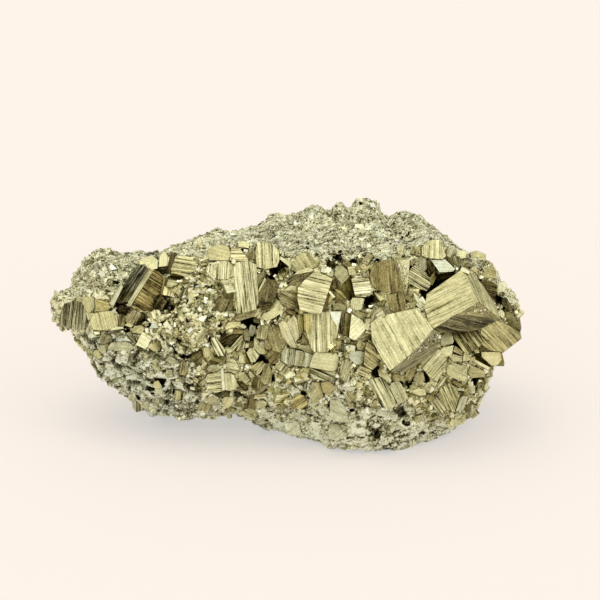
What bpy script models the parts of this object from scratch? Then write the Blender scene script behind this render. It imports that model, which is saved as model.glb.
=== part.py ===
"""Pyrite specimen: striated cubes and blocks grown together on a lump of massive ore.

The cluster formed as one piece, so it is one solid. A lofted lump of ore carries a pale plateau
on top, a mound, a pocket and a cracked lower part. Cubes and blocks of every size grow out of it
and are fused to it. The underside is cut flat, and the cluster rests on that cut.

Frame: +Z up, the display side looks along -Y, +X runs along the length, and the origin is under
the middle of the cluster, in the plane that it rests on.
"""
import cmath
import math
import random
from itertools import product

import bmesh
import bpy
from mathutils import Matrix, Vector, noise
from mathutils.bvhtree import BVHTree

# ---- Driving dimensions. Tables are in millimetres; MM turns them into metres.
MM = 0.001
LOOK_DOWN = math.radians(20.0)   # the display side is laid out as it is seen from this far above level
SEEN_ZERO = -6.5                 # height in that view plane from which the seen heights below count
CENTRE = Vector((0.16, -0.06, 0.0))  # moves the laid-out cluster over its own middle
STATIONS = 38                    # rings along the length
EVEN_SHARE = 0.5                 # how evenly the rings are spaced; the rest of them crowd at the ends
STEPS = 3                        # points between two corners of a ring
LEFT_TIP = (-47.0, 29.2)         # x and seen height of the two ends
RIGHT_TIP = (46.6, 26.4)
TIP_DEPTH = -3.0                 # y of both ends
ROUNDED_FROM = 43.5              # distance from the middle at which the ends start to round off
RELIEF = ((6.5, 0.9), (2.6, 0.35))  # lumpiness: size of the lumps, height
RELIEF_PLACE = Vector((3.1, 7.7, 1.9))  # part of the noise that the lumps are taken from
SWELL_FADE = 1.6                 # how soon a swell dies away where the surface turns from the viewer
BELOW = Vector((200.0, 200.0, 40.0))  # block that is cut away under the plane of rest
SLIVER = 0.001                   # points closer than this are made one
FAR = 200.0                      # outside the cluster on every side

# Corners of the cross-section's front: shares of the depth of foot, belly and rim, share of the rise.
FRONT_CORNERS = (
    (1.0, 0.0, 0.0, 0.0), (0.25, 0.75, 0.0, 0.20), (0.0, 1.0, 0.0, 0.45), (0.0, 0.65, 0.35, 0.78),
    (0.0, 0.0, 1.0, 1.0),
)
# Corners of its back: shares of the depth of the plateau's back and of the back, share of the drop.
BACK_CORNERS = ((1.0, 0.0, 0.0), (0.25, 0.75, 0.22), (0.0, 1.0, 0.52), (0.20, 0.80, 0.86))
# Depth of the underside's middle, as shares of the same two, and of its front, as a share of the foot's.
UNDER_MIDDLE = (0.45, 0.10)
UNDER_FRONT = 0.5

# Outline of the lump as it is seen: x, seen height of the skyline, seen height of the lower edge.
SKYLINE = (
    (-47.0, 29.2), (-45.0, 31.0), (-42.6, 32.4), (-42.0, 35.0), (-40.4, 38.4), (-38.6, 39.8),
    (-30.0, 39.6), (-25.0, 39.6), (-22.0, 41.0), (-14.0, 43.8), (-6.0, 45.4), (-2.0, 47.0),
    (6.0, 48.4), (14.0, 49.0), (18.0, 48.4), (20.4, 47.0), (26.4, 47.0), (28.6, 45.2),
    (32.0, 42.6), (36.0, 39.8), (39.8, 38.6), (42.0, 34.8), (44.0, 32.4), (46.2, 28.4),
    (46.6, 26.4),
)
LOWER_EDGE = (
    (-47.0, 29.2), (-46.0, 27.6), (-44.0, 26.2), (-41.4, 24.0), (-39.4, 19.2), (-37.0, 14.8),
    (-34.6, 12.9), (-31.0, 11.8), (-27.6, 9.0), (-24.0, 7.2), (-16.0, 6.8), (-10.0, 8.0),
    (-5.0, 5.4), (0.0, 4.0), (7.4, 1.8), (12.8, 0.2), (18.0, -0.2), (22.0, 0.2), (27.0, 2.2),
    (32.2, 5.0), (35.4, 7.2), (37.8, 9.6), (39.6, 13.6), (42.0, 17.8), (44.0, 21.4), (46.6, 26.4),
)
# Front rim of the plateau: x, seen height.
RIM = (
    (-47.0, 29.2), (-42.0, 33.4), (-38.0, 36.6), (-30.0, 37.4), (-24.0, 38.6), (-16.0, 39.4),
    (-8.0, 41.2), (0.0, 39.4), (9.0, 37.8), (22.0, 38.6), (29.0, 41.6), (35.0, 38.6),
    (40.0, 35.6), (46.2, 26.4),
)
# Plan of the lump: x, y of the rim, of the belly, of the foot, of the plateau's back, of the back.
PLAN = (
    (-47.0, -3.0, -3.0, -3.0, -3.0, -3.0), (-42.0, -6.0, -9.0, -6.0, 0.0, 7.0),
    (-36.0, -8.0, -14.0, -8.0, 3.0, 13.0), (-28.0, -9.0, -17.0, -9.0, 5.0, 18.0),
    (-18.0, -11.0, -20.0, -9.0, 8.0, 21.0), (-8.0, -12.0, -20.5, -8.0, 12.0, 23.0),
    (2.0, -13.0, -21.5, -14.0, 16.0, 24.0), (12.0, -13.0, -23.5, -20.0, 18.0, 25.0),
    (20.0, -13.0, -24.0, -20.8, 17.0, 25.0), (30.0, -12.0, -22.0, -16.0, 13.0, 22.0),
    (38.0, -9.0, -17.0, -10.0, 7.0, 16.0), (43.0, -6.0, -10.0, -6.0, 2.0, 8.0),
    (46.2, -3.0, -3.0, -3.0, -3.0, -3.0),
)
# Height of the underside: x, z of the middle, z under the front. Below 0 it is cut flat.
UNDERSIDE = (
    (-47.0, 24.6, 25.0), (-43.0, 18.5, 19.5), (-38.0, 10.5, 12.5), (-32.0, 3.5, 7.0),
    (-27.0, -0.9, 3.6), (-10.0, -0.9, 3.0), (-3.0, -0.9, 0.4), (2.0, -0.9, -0.9),
    (33.0, -0.9, -0.9), (38.0, 5.0, 5.0), (42.0, 13.0, 13.0), (46.6, 22.0, 22.0),
)
# Swells and hollows of the display side: x, seen height, radius, height towards the viewer.
SWELLS = (
    (-17.5, 27.0, 7.5, 3.0), (-9.0, 20.5, 6.5, -3.5), (-14.5, 14.0, 4.0, -1.5),
    (33.0, 19.0, 5.0, -2.5), (38.2, 13.8, 2.2, -2.5), (-25.6, 30.0, 2.4, -4.0),
    (15.0, 8.0, 9.0, 1.5), (-31.0, 16.0, 6.0, 1.2), (8.0, 31.0, 8.0, -1.8),
    (24.0, 31.0, 7.0, -1.8), (-41.0, 34.2, 1.6, -2.0), (-1.0, 37.0, 2.6, -2.5),
)

# Crystals of the display side, as seen: x and seen height of one corner of the showing face, the
# run and rise of one edge from that corner, and the run and rise of the other.
SHOWING = {
    # right part
    "great slab": (20.8, 16.0, 8.5, 8.4, -3.9, 9.9),
    "great cube": (36.2, 27.6, -7.2, -3.0, -0.8, 7.4),
    "right wing": (38.8, 23.4, 3.6, 2.7, 3.9, -3.6),
    "pale lip": (39.0, 19.8, 3.8, 0.1, 0.7, -2.6),
    "dark lip": (36.8, 19.4, 2.2, 0.4, 3.2, -2.6),
    "brown block": (33.0, 23.4, 1.9, 0.8, 2.5, -3.5),
    "brown block side": (35.0, 24.2, 3.3, 0.3, 2.5, -3.6),
    "little pale": (31.3, 23.8, 1.8, -0.1, -0.5, -2.7),
    "bright step": (30.4, 20.5, 2.7, 0.9, 1.8, -2.3),
    "bright step side": (33.3, 21.2, 1.8, -1.2, -0.3, -2.2),
    "olive tablet": (26.3, 17.6, 3.0, 3.0, 3.3, -3.6),
    "grey stub": (25.6, 14.0, 1.9, -0.2, 0.6, 1.8),
    "bright blade": (25.0, 11.8, 2.8, 0.6, 0.9, -0.9),
    "pale bar": (30.3, 12.8, 1.3, 1.9, -0.8, 0.8),
    "lower tablet": (32.0, 17.6, 3.6, -0.6, 0.2, -2.9),
    "edge tablet": (36.4, 16.0, 3.2, -0.1, 0.4, -1.7),
    "lower cube": (32.1, 13.9, -2.6, -2.8, 2.8, -2.9),
    "lower cube side": (34.9, 11.2, 1.8, 0.0, -1.0, -3.0),
    "ribbed left": (16.6, 14.3, 2.6, 0.9, 2.9, -6.2),
    "ribbed right": (20.9, 13.9, 2.2, 0.0, 1.2, -4.4),
    "ribbed top": (18.3, 16.4, 1.3, -0.2, 2.2, -3.0),
    "ribbed stub": (21.0, 15.5, 1.6, -0.1, 0.6, -1.7),
    "tall olive prism": (16.9, 37.4, 4.6, 0.2, 0.9, -5.2),
    "low olive prism": (19.9, 31.2, 3.4, 0.8, 1.4, -3.9),
    "rough strip": (21.4, 37.8, 2.2, 0.0, 1.6, -6.4),
    "striped tile": (24.2, 34.2, 1.5, 3.2, 3.8, -2.2),
    "tile cap": (26.2, 38.4, 1.8, -0.2, 0.3, -2.7),
    "rim stub one": (22.0, 40.6, 2.0, 0.6, 0.6, -2.0),
    "rim stub two": (25.2, 40.6, 1.4, 0.4, 0.2, -1.8),
    "ribbed crown": (26.8, 39.0, 4.6, -0.5, 0.4, 3.1),
    "green facet": (28.8, 38.2, 2.7, 0.1, 1.4, -2.4),
    "dark underside": (29.9, 35.3, 3.7, 0.9, -0.3, -2.2),
    "dark ribbed": (31.6, 38.6, 2.9, 0.4, 0.9, -2.4),
    "rim pale": (33.2, 40.2, 2.4, 0.0, 0.4, -1.4),
    "shoulder block": (36.8, 39.8, 3.0, -0.3, 0.8, -2.6),
    "shoulder side": (39.6, 38.0, 1.6, -0.6, 0.3, -3.4),
    "right ribbed": (38.3, 34.1, 3.6, -0.4, 0.9, -3.0),
    "right white": (42.1, 33.4, 1.4, 0.1, 0.3, -2.0),
    "right grey": (43.0, 30.6, 1.1, 0.1, 1.0, -2.5),
    "right bright": (42.2, 28.1, 1.2, 0.1, 0.2, -1.7),
    "right pale": (43.6, 28.0, 1.5, -0.3, 0.0, -1.6),
    # middle
    "fluted cube": (6.9, 27.2, -4.5, 1.5, 2.2, 7.2),
    "grey block": (9.8, 36.6, 2.2, 0.3, 0.3, -3.0),
    "grey block side": (11.2, 33.4, 1.6, 0.9, 1.2, -3.2),
    "gold box": (8.0, 29.9, 1.6, 1.0, 0.6, 1.7),
    "gold slope": (9.8, 31.8, 2.0, -0.6, 0.4, -2.2),
    "white ribbed": (13.2, 34.4, 2.5, 0.4, 0.7, -3.5),
    "small square": (13.0, 30.5, 2.3, 0.0, 0.2, -2.0),
    "small shelf": (13.5, 27.9, 3.4, -0.4, 1.2, -1.5),
    "slim pale": (15.2, 36.2, 1.6, 0.2, 0.2, -2.4),
    "leaning prism": (0.3, 34.3, 4.9, 2.0, 1.4, -2.0),
    "upper face": (2.0, 35.6, 4.3, 0.6, -1.6, 3.4),
    "upper ribs": (4.3, 39.9, 2.0, -3.4, 1.0, 0.3),
    "left blade": (-1.3, 25.7, 1.7, 0.1, 2.0, -5.6),
    "middle blade": (0.8, 26.2, 1.3, 0.8, 1.4, -4.2),
    "right blade": (2.2, 26.8, 1.3, 0.3, 0.8, -3.4),
    "ribbed wall": (4.6, 27.6, 5.4, 0.2, 0.2, -7.6),
    "brown wedge": (3.2, 23.6, 1.6, -0.2, 0.0, -2.2),
    "grey shelf": (-1.0, 17.9, 5.4, -1.1, 0.9, 2.5),
    "pale shelf": (4.5, 16.9, 4.8, -0.8, 0.9, 2.8),
    "dark stub": (10.6, 27.6, 1.8, 0.2, 0.2, -4.6),
    "pale kite": (12.5, 22.8, 1.6, -0.7, 1.0, 4.4),
    "bluish facet": (12.8, 19.4, 2.6, 0.6, 0.9, -1.9),
    "brown ribs": (16.0, 22.6, -1.4, -5.0, 2.6, -2.4),
    "lower pale": (5.2, 9.8, 2.1, 1.0, -0.4, 3.4),
    "lower green": (8.7, 7.0, 2.4, 0.4, 0.0, 3.2),
    "gold nest": (0.8, 8.6, 3.2, -0.2, 0.3, 2.7),
    "top ribs": (-6.2, 38.0, 4.7, -1.6, 0.2, 3.0),
    "long ribs": (-9.9, 37.2, 3.6, 0.3, 0.9, -9.0),
    "dark knob": (-5.7, 30.0, 3.3, 0.0, 0.4, 3.9),
    "curved pale": (-4.7, 26.8, 2.4, 3.6, 1.8, -0.9),
    "grey beam": (-10.3, 26.3, 6.6, 1.9, 0.2, 1.3),
    "knob": (-0.4, 31.6, 2.0, 0.9, 0.6, -2.0),
    "olive ribs": (-0.9, 31.3, 2.4, -0.6, 0.4, -2.2),
    # pocket
    "olive wall": (-3.5, 24.6, 2.6, 0.4, 1.0, -5.0),
    "pocket ribs": (-5.8, 22.6, 2.2, 0.0, 0.3, 2.4),
    "pocket beam": (-12.0, 24.3, 2.9, 1.0, 0.1, 0.8),
    "pocket grey": (-8.2, 24.0, 0.9, 0.0, 0.4, -2.0),
    "pocket blue": (-7.3, 24.4, 1.2, 0.4, 0.3, -1.6),
    "pocket dark": (-12.6, 21.2, 2.2, 0.0, 1.6, 1.8),
    "pocket blades": (-14.9, 22.6, 1.2, 0.1, 1.6, -3.3),
    "pocket wedge": (-12.4, 20.8, 2.2, 0.0, 0.6, -1.4),
    "pocket needle": (-10.4, 20.6, 1.9, 2.3, 0.5, -0.4),
    "pocket tooth": (-9.5, 20.4, 1.1, -0.2, 0.3, 1.9),
    "pocket cube": (-9.3, 17.8, 1.7, -0.1, 0.1, 1.8),
    "pocket fan": (-8.0, 20.1, 1.6, 0.5, 1.1, -2.6),
    "pocket kite": (-6.3, 22.4, 2.3, -2.7, -0.2, -1.4),
    "pocket brown": (-5.2, 21.4, 1.1, 1.0, 1.3, -1.7),
    "pocket leaf": (-7.7, 16.0, 0.8, 0.3, 1.0, -1.8),
    "pocket steps": (-7.0, 16.4, 2.9, 1.5, 0.5, -1.5),
    "twin left": (-15.3, 12.0, 2.8, 0.6, -0.5, 3.6),
    "twin right": (-12.5, 12.3, 2.5, 0.2, -0.2, 3.5),
    "twin cap": (-15.8, 16.1, 2.0, -0.2, 0.9, 1.3),
    "twin cap right": (-12.2, 16.6, 2.6, -0.5, 0.2, 1.6),
    "foot tooth": (-12.8, 10.6, 2.5, 0.1, 0.6, -1.8),
    "foot cube": (-6.3, 10.6, 2.9, 0.2, 0.6, 1.3),
    "foot cube low": (-6.2, 8.8, 2.2, 0.3, 0.0, 1.2),
    "foot slab": (-9.6, 7.5, 2.4, 1.1, 3.4, -1.7),
    "foot stub": (-15.9, 9.8, 2.6, -0.2, 0.3, 1.2),
    # left part
    "grey fan": (-45.0, 25.8, 4.8, -1.7, 0.5, 4.2),
    "pale wing": (-40.4, 30.4, 2.2, 0.2, 0.6, -4.4),
    "gold prism": (-30.9, 29.1, 4.5, 6.9, 3.6, -1.9),
    "bright edge": (-31.6, 29.7, 4.8, 6.6, 0.9, -0.6),
    "bright box": (-25.3, 36.8, 1.9, 0.1, 0.8, 2.5),
    "olive strip": (-23.4, 35.6, 1.0, 0.2, 0.5, 3.9),
    "level ribs": (-22.6, 34.6, 3.6, 0.9, 0.5, 3.6),
    "level stub": (-23.7, 32.5, 2.0, 0.4, 0.3, 1.6),
    "smooth patch": (-15.6, 38.4, 4.4, -0.2, 0.4, 2.0),
    "top step": (-11.2, 38.3, 3.2, -0.2, 0.2, 2.2),
    "top chip": (-9.4, 41.0, 2.0, -0.5, 0.4, 1.5),
    "fluted step": (-15.4, 35.2, 5.2, 0.0, 0.2, 2.0),
    "cream block": (-39.0, 24.4, 5.2, -0.1, 0.6, 3.4),
    "gold gable": (-38.0, 28.0, 2.9, 0.4, 0.1, 2.0),
    "slim blade": (-32.0, 25.9, 1.9, 2.5, 1.1, -0.7),
    "slim blade two": (-29.9, 25.4, 1.0, 2.1, 1.0, -0.4),
    "blue gable": (-27.2, 24.5, 2.2, 0.1, 1.0, 1.4),
    "white square": (-29.9, 21.2, 2.3, -0.5, 1.6, 2.6),
    "cream stub": (-27.4, 20.1, 2.4, -0.2, 0.8, 1.9),
    "olive shell": (-30.2, 22.9, 1.6, 0.6, 0.3, 2.0),
    "grey wedge": (-31.8, 23.8, 1.0, 0.4, 1.6, -2.6),
    "pale gable": (-37.5, 20.8, 2.2, 0.7, 0.9, -1.5),
    "grey slab": (-37.8, 21.0, 2.6, 1.0, 1.2, 2.4),
    "dark slit": (-35.6, 23.6, 2.6, 1.0, 0.3, -0.9),
    "rose ribs": (-22.8, 10.6, 3.6, -0.2, 0.4, 1.8),
    "lean ribs": (-20.6, 15.2, 2.2, -0.3, 0.6, 2.6),
    "light bar": (-27.0, 17.2, 2.2, -1.6, 0.5, 0.6),
    "lower lump": (-27.2, 11.6, 2.8, 0.6, -0.4, 2.6),
    # skyline
    "sky one": (10.5, 46.4, 2.4, 0.2, 0.4, 2.4),
    "sky two": (14.4, 47.2, 2.8, 0.3, 0.2, 2.4),
    "sky three": (17.4, 46.8, 2.0, -0.2, 0.3, 2.4),
    "sky four": (20.8, 45.2, 2.6, 0.0, 0.2, 2.0),
    "sky five": (24.2, 45.0, 2.4, -0.2, 0.2, 1.9),
    "sky six": (5.6, 45.8, 2.0, 0.2, 0.2, 2.0),
    "sky seven": (-3.2, 44.8, 2.2, 0.4, 0.2, 1.8),
    "sky eight": (-37.4, 38.6, 2.6, 0.1, 0.3, 1.2),
}
# Second edge of the real face over the first, where the face isn't square.
ASPECT = {
    "great cube": 0.76, "gold prism": 0.6, "bright edge": 0.14, "tall olive prism": 1.15,
    "rough strip": 2.4, "ribbed left": 2.2, "ribbed right": 1.9, "ribbed top": 2.4,
    "left blade": 3.0, "middle blade": 2.6, "right blade": 2.4, "ribbed wall": 1.4,
    "long ribs": 2.4, "grey beam": 0.22, "curved pale": 0.5, "leaning prism": 0.5,
    "upper ribs": 0.3, "pocket needle": 0.25, "pocket blades": 2.4, "pocket beam": 0.35,
    "olive strip": 3.4, "dark stub": 2.2, "pale kite": 2.0, "slim blade": 0.45,
    "smooth patch": 0.6, "fluted step": 0.5, "grey shelf": 0.55, "pale shelf": 0.65,
    "foot slab": 1.3, "olive wall": 1.8, "grey fan": 0.9, "pale wing": 1.9,
}
# Crystals whose first edge runs back from the viewer.
RUNS_BACK = {"upper face", "right wing", "pocket kite", "lower cube", "top ribs", "great cube"}
# How much of a crystal's sides shows past its face, where it isn't the usual share.
SIDES = {"great slab": 2.0, "great cube": 6.2}
USUAL_SIDES = 0.28               # of the face's shorter edge
# Cleaved crystals: a line as seen, x and seen height and its run and rise; what is left of it stays.
CLEAVED = {
    "great slab": (27.0, 28.9, -10.4, -2.5),
    "great cube": (42.3, 26.3, -5.9, 9.9),
}
# How far the middle of the showing face stands out of the lump, where it isn't the usual share.
STANDS = {
    "great slab": 3.0, "great cube": 4.5, "right wing": 3.0, "ribbed wall": 2.2, "fluted cube": 3.6,
    "long ribs": 2.8, "tall olive prism": 2.4, "gold prism": 2.2, "bright edge": 3.2,
    "olive wall": 0.8, "grey shelf": 2.2, "pale shelf": 2.4, "cream block": 1.2,
    "smooth patch": 0.6, "dark underside": 0.6, "pocket dark": 0.6,
}
USUAL_STAND = 0.36               # of the face's shorter edge
CORNER_REACH = 0.42              # share of an edge from the middle at which a face has to clear the lump
CORNER_CLEAR = 0.15              # by this much
MOST_LIFT = 2.6                  # and a crystal isn't lifted by more than this for it
TURNED = 0.65                    # share of the closed-form turn that the crystals really have
ROOT_DEPTH = 2.5                 # how deep a crystal is rooted in the lump, at least
# Crystals grown by rule over the back and the ends, where nothing shows their places.
SEED = 11
HIDDEN_CRYSTALS = 74
HIDDEN_SIZES = (3.0, 7.5)
HIDDEN_SHAPE = ((0.6, 1.0), (0.7, 1.1))  # width and height against the length
HIDDEN_LEAN = 0.6                # steepest lean, radians
HIDDEN_REACH = 42.0              # furthest from the middle along the length
HIDDEN_ROUND = (-25.0, 112.0)    # angles about the length, degrees: 0 is the back, 90 the top
HIDDEN_AXIS = 17.0               # height of the line that those angles are about
HIDDEN_LOWEST = 4.0
HIDDEN_SUNK = 0.16               # share of the height by which the middle is below the surface
HIDDEN_FACING = -0.1             # a place that faces the viewer more than this isn't hidden


def along_table(table, x):
    """Row of a table at x, straight between its rows."""
    if x <= table[0][0]:
        return table[0][1:]
    for low, high in zip(table, table[1:]):
        if x <= high[0]:
            t = (x - low[0]) / (high[0] - low[0])
            return tuple(a + (b - a) * t for a, b in zip(low[1:], high[1:]))
    return table[-1][1:]


VIEW_RIGHT = Vector((1.0, 0.0, 0.0))
VIEW_UP = Vector((0.0, math.sin(LOOK_DOWN), math.cos(LOOK_DOWN)))
TO_VIEWER = Vector((0.0, -math.cos(LOOK_DOWN), math.sin(LOOK_DOWN)))


def seen_height(point):
    """Seen height of a point."""
    return point.dot(VIEW_UP) - SEEN_ZERO


def seen_place(x, seen, depth=0.0):
    """Point at a seen place, this far towards the viewer."""
    return VIEW_RIGHT * x + VIEW_UP * (SEEN_ZERO + seen) + TO_VIEWER * depth


def height_at(seen, y):
    """Real height of a point that is seen at a given height and lies at depth y."""
    return (SEEN_ZERO + seen - y * math.sin(LOOK_DOWN)) / math.cos(LOOK_DOWN)


def section(x):
    """Corners of the lump's cross-section at x, from the foot up the front, over and down the back."""
    skyline = along_table(SKYLINE, x)[0]
    lower = along_table(LOWER_EDGE, x)[0]
    rim_seen = min(along_table(RIM, x)[0], skyline)
    rim_y, belly_y, foot_y, crown_y, back_y = along_table(PLAN, x)
    under, front_under = along_table(UNDERSIDE, x)
    foot_z = height_at(lower, foot_y)
    rise = height_at(rim_seen, rim_y) - foot_z
    crown_z = height_at(skyline, crown_y)
    front = [(a * foot_y + b * belly_y + c * rim_y, foot_z + share * rise)
             for a, b, c, share in FRONT_CORNERS]
    back = [(a * crown_y + b * back_y, crown_z - share * (crown_z - under))
            for a, b, share in BACK_CORNERS]
    top = tuple(0.5 * (a + b) for a, b in zip(front[-1], back[0]))
    middle = UNDER_MIDDLE[0] * crown_y + UNDER_MIDDLE[1] * back_y
    below = [(middle, min(under, foot_z)), (UNDER_FRONT * foot_y, min(front_under, foot_z))]
    return front + [top] + back + below


def rounded_ring(corners):
    """Closed Catmull-Rom curve through the corners of a section."""
    ring = []
    count = len(corners)
    for i in range(count):
        before, start, end, after = (corners[(i + k) % count] for k in (-1, 0, 1, 2))
        for step in range(STEPS):
            t = step / STEPS
            ring.append(tuple(
                0.5 * (2 * b + (c - a) * t + (2 * a - 5 * b + 4 * c - d) * t * t
                       + (3 * b - a - 3 * c + d) * t ** 3)
                for a, b, c, d in zip(before, start, end, after)))
    return ring


def lump_ring(x):
    """Points around the lump at x, drawn in towards the tips at the two ends."""
    tip_x, tip_seen = RIGHT_TIP if x > 0.0 else LEFT_TIP
    tip_z = height_at(tip_seen, TIP_DEPTH)
    past = max(0.0, abs(x) - ROUNDED_FROM) / (abs(tip_x) - ROUNDED_FROM)
    share = math.sqrt(1.0 - past * past)
    full = rounded_ring(section(max(-ROUNDED_FROM, min(ROUNDED_FROM, x))))
    return [(x, TIP_DEPTH + (y - TIP_DEPTH) * share, tip_z + (z - tip_z) * share) for y, z in full]


def swell_at(x, seen):
    """How far the display side swells towards the viewer at a seen place."""
    return sum(height * math.exp(-((x - sx) ** 2 + (seen - sv) ** 2) / (radius * radius))
               for sx, sv, radius, height in SWELLS)


def relief(point, normal):
    """A point of the lump with its swells and lumps added."""
    facing = max(0.0, normal.dot(TO_VIEWER))
    swell = swell_at(point.x, seen_height(point)) * min(1.0, SWELL_FADE * facing)
    moved = point + TO_VIEWER * swell
    for size, height in RELIEF:
        moved += normal * (height * noise.noise(point / size + RELIEF_PLACE))
    return moved


def lump_mesh(name):
    """The lump of ore, lofted through its sections, in millimetres."""
    shape = bmesh.new()
    rings = []
    for i in range(STATIONS):
        way = (i + 0.5) / STATIONS
        way = EVEN_SHARE * way + (1.0 - EVEN_SHARE) * (0.5 - 0.5 * math.cos(math.pi * way))
        x = LEFT_TIP[0] + (RIGHT_TIP[0] - LEFT_TIP[0]) * way
        rings.append([shape.verts.new(place) for place in lump_ring(x)])
    left, right = (shape.verts.new((x, TIP_DEPTH, height_at(seen, TIP_DEPTH)))
                   for x, seen in (LEFT_TIP, RIGHT_TIP))
    around = len(rings[0])
    for k in range(around):
        following = (k + 1) % around
        shape.faces.new((left, rings[0][k], rings[0][following]))
        shape.faces.new((right, rings[-1][following], rings[-1][k]))
        for ring, next_ring in zip(rings, rings[1:]):
            shape.faces.new((ring[k], next_ring[k], next_ring[following], ring[following]))
    bmesh.ops.recalc_face_normals(shape, faces=shape.faces)
    shape.normal_update()
    moved = [relief(v.co.copy(), v.normal.copy()) for v in shape.verts]
    for v, place in zip(shape.verts, moved):
        v.co = place
    bmesh.ops.triangulate(shape, faces=shape.faces)
    return mesh_of(name, shape)


def mesh_of(name, shape):
    """Mesh of a shape that is being edited."""
    mesh = bpy.data.meshes.new(name)
    shape.to_mesh(mesh)
    shape.free()
    return mesh


def surface_tree(mesh):
    """Search tree of a mesh's faces."""
    shape = bmesh.new()
    shape.from_mesh(mesh)
    tree = BVHTree.FromBMesh(shape)
    shape.free()
    return tree


def seen_depth(tree, x, seen):
    """Depth towards the viewer of the lump's surface at a seen place."""
    hit = tree.ray_cast(seen_place(x, seen, FAR), -TO_VIEWER)[0]
    if hit is None:
        hit = tree.find_nearest(seen_place(x, seen))[0]
    return hit.dot(TO_VIEWER)


def turned_edges(name):
    """Two edges of a crystal's showing face, turned in depth.

    Two seen edges of a face of known aspect fix how the face is turned. With the edges' seen
    parts as plane vectors p and q, and u and w their unseen parts, a square face needs
    p.q + u w = 0 and p.p + u u = q.q + w w, so (u + i w)^2 = (q.q - p.p) - 2 i p.q.
    """
    run_1, rise_1, run_2, rise_2 = SHOWING[name][2:]
    aspect = ASPECT.get(name, 1.0)
    first = VIEW_RIGHT * run_1 + VIEW_UP * rise_1
    second = (VIEW_RIGHT * run_2 + VIEW_UP * rise_2) / aspect
    root = cmath.sqrt(complex(second.dot(second) - first.dot(first), -2.0 * first.dot(second)))
    root *= -TURNED if name in RUNS_BACK else TURNED
    return first + TO_VIEWER * root.real, (second + TO_VIEWER * root.imag) * aspect


def showing_box(tree, name):
    """Matrix that turns a unit cube into one crystal of the display side."""
    x, seen, run_1, rise_1, run_2, rise_2 = SHOWING[name]
    first, second = turned_edges(name)
    outward = first.cross(second).normalized()
    if outward.dot(TO_VIEWER) < 0.0:
        outward = -outward
    shorter = min(first.length, second.length)
    stand = STANDS.get(name, USUAL_STAND * shorter)
    third = TO_VIEWER * (stand + ROOT_DEPTH + 0.5 * shorter)
    leaning = outward - TO_VIEWER * outward.dot(TO_VIEWER)
    sides = min(SIDES.get(name, USUAL_SIDES * shorter), leaning.length * shorter)
    third += leaning.normalized() * sides
    middle_x = x + 0.5 * (run_1 + run_2)
    middle_seen = seen + 0.5 * (rise_1 + rise_2)
    depth = seen_depth(tree, middle_x, middle_seen) + stand
    lift = depth
    for along, across in product((-CORNER_REACH, CORNER_REACH), repeat=2):
        surface = seen_depth(tree, middle_x + along * run_1 + across * run_2,
                             middle_seen + along * rise_1 + across * rise_2)
        lift = max(lift, surface + CORNER_CLEAR - (first * along + second * across).dot(TO_VIEWER))
    middle = seen_place(middle_x, middle_seen, min(lift, depth + MOST_LIFT))
    return box_matrix(middle - third * 0.5, first, second, third)


def box_matrix(middle, first, second, third):
    """Matrix of a box from its middle and its three edges."""
    matrix = Matrix((first, second, third)).transposed().to_4x4()
    matrix.translation = middle
    return matrix


def hidden_boxes(tree):
    """Matrices of the crystals of the back and the ends."""
    dice = random.Random(SEED)
    boxes = []
    while len(boxes) < HIDDEN_CRYSTALS:
        x = dice.uniform(-HIDDEN_REACH, HIDDEN_REACH)
        angle = math.radians(dice.uniform(*HIDDEN_ROUND))
        away = Vector((0.0, math.cos(angle), math.sin(angle)))
        hit, normal = tree.ray_cast(Vector((x, 0.0, HIDDEN_AXIS)) + away * FAR, -away)[:2]
        smallest, largest = HIDDEN_SIZES
        size = smallest + (largest - smallest) * dice.random() ** 2
        turn = Matrix.Rotation(dice.uniform(-HIDDEN_LEAN, HIDDEN_LEAN), 3, "X")
        turn = turn @ Matrix.Rotation(dice.uniform(-HIDDEN_LEAN, HIDDEN_LEAN), 3, "Y")
        turn = turn @ Matrix.Rotation(dice.uniform(0.0, math.pi), 3, "Z")
        sides = [size] + [size * dice.uniform(*share) for share in HIDDEN_SHAPE]
        if hit is None or hit.z < HIDDEN_LOWEST or normal.dot(TO_VIEWER) > HIDDEN_FACING:
            continue
        frame = normal.to_track_quat("Z", "Y").to_matrix() @ turn
        edges = [frame.col[axis] * sides[axis] for axis in range(3)]
        matrix = box_matrix(hit - normal * (HIDDEN_SUNK * sides[2]), *edges)
        if stays_hidden(matrix):
            boxes.append(matrix)
    return boxes


def stays_hidden(matrix):
    """Whether a box keeps inside the outline that the display side shows."""
    for corner in product((-0.5, 0.5), repeat=3):
        place = matrix @ Vector(corner)
        seen = seen_height(place)
        if seen > along_table(SKYLINE, place.x)[0] or seen < along_table(LOWER_EDGE, place.x)[0]:
            return False
    return True


def cleave(shape, line):
    """Cut away the part of a shape that is seen to the right of a line, and close the cut."""
    x, seen, run, rise = line
    everything = shape.verts[:] + shape.edges[:] + shape.faces[:]
    cut = bmesh.ops.bisect_plane(shape, geom=everything, plane_co=seen_place(x, seen),
                                 plane_no=VIEW_RIGHT * rise - VIEW_UP * run, clear_outer=True)
    edges = [part for part in cut["geom_cut"] if isinstance(part, bmesh.types.BMEdge)]
    bmesh.ops.edgeloop_fill(shape, edges=edges)


def box_mesh(name, matrix):
    """A box with its place in its mesh, cleaved where its name says so."""
    shape = bmesh.new()
    bmesh.ops.create_cube(shape, size=1.0)
    shape.transform(matrix)
    if name in CLEAVED:
        cleave(shape, CLEAVED[name])
    bmesh.ops.recalc_face_normals(shape, faces=shape.faces)
    return mesh_of(name, shape)


def clear_scene():
    """Empty the scene that Blender starts with."""
    for old in list(bpy.data.objects):
        bpy.data.objects.remove(old, do_unlink=True)


def new_collection(name):
    """A collection in the scene."""
    collection = bpy.data.collections.new(name)
    bpy.context.scene.collection.children.link(collection)
    return collection


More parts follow.
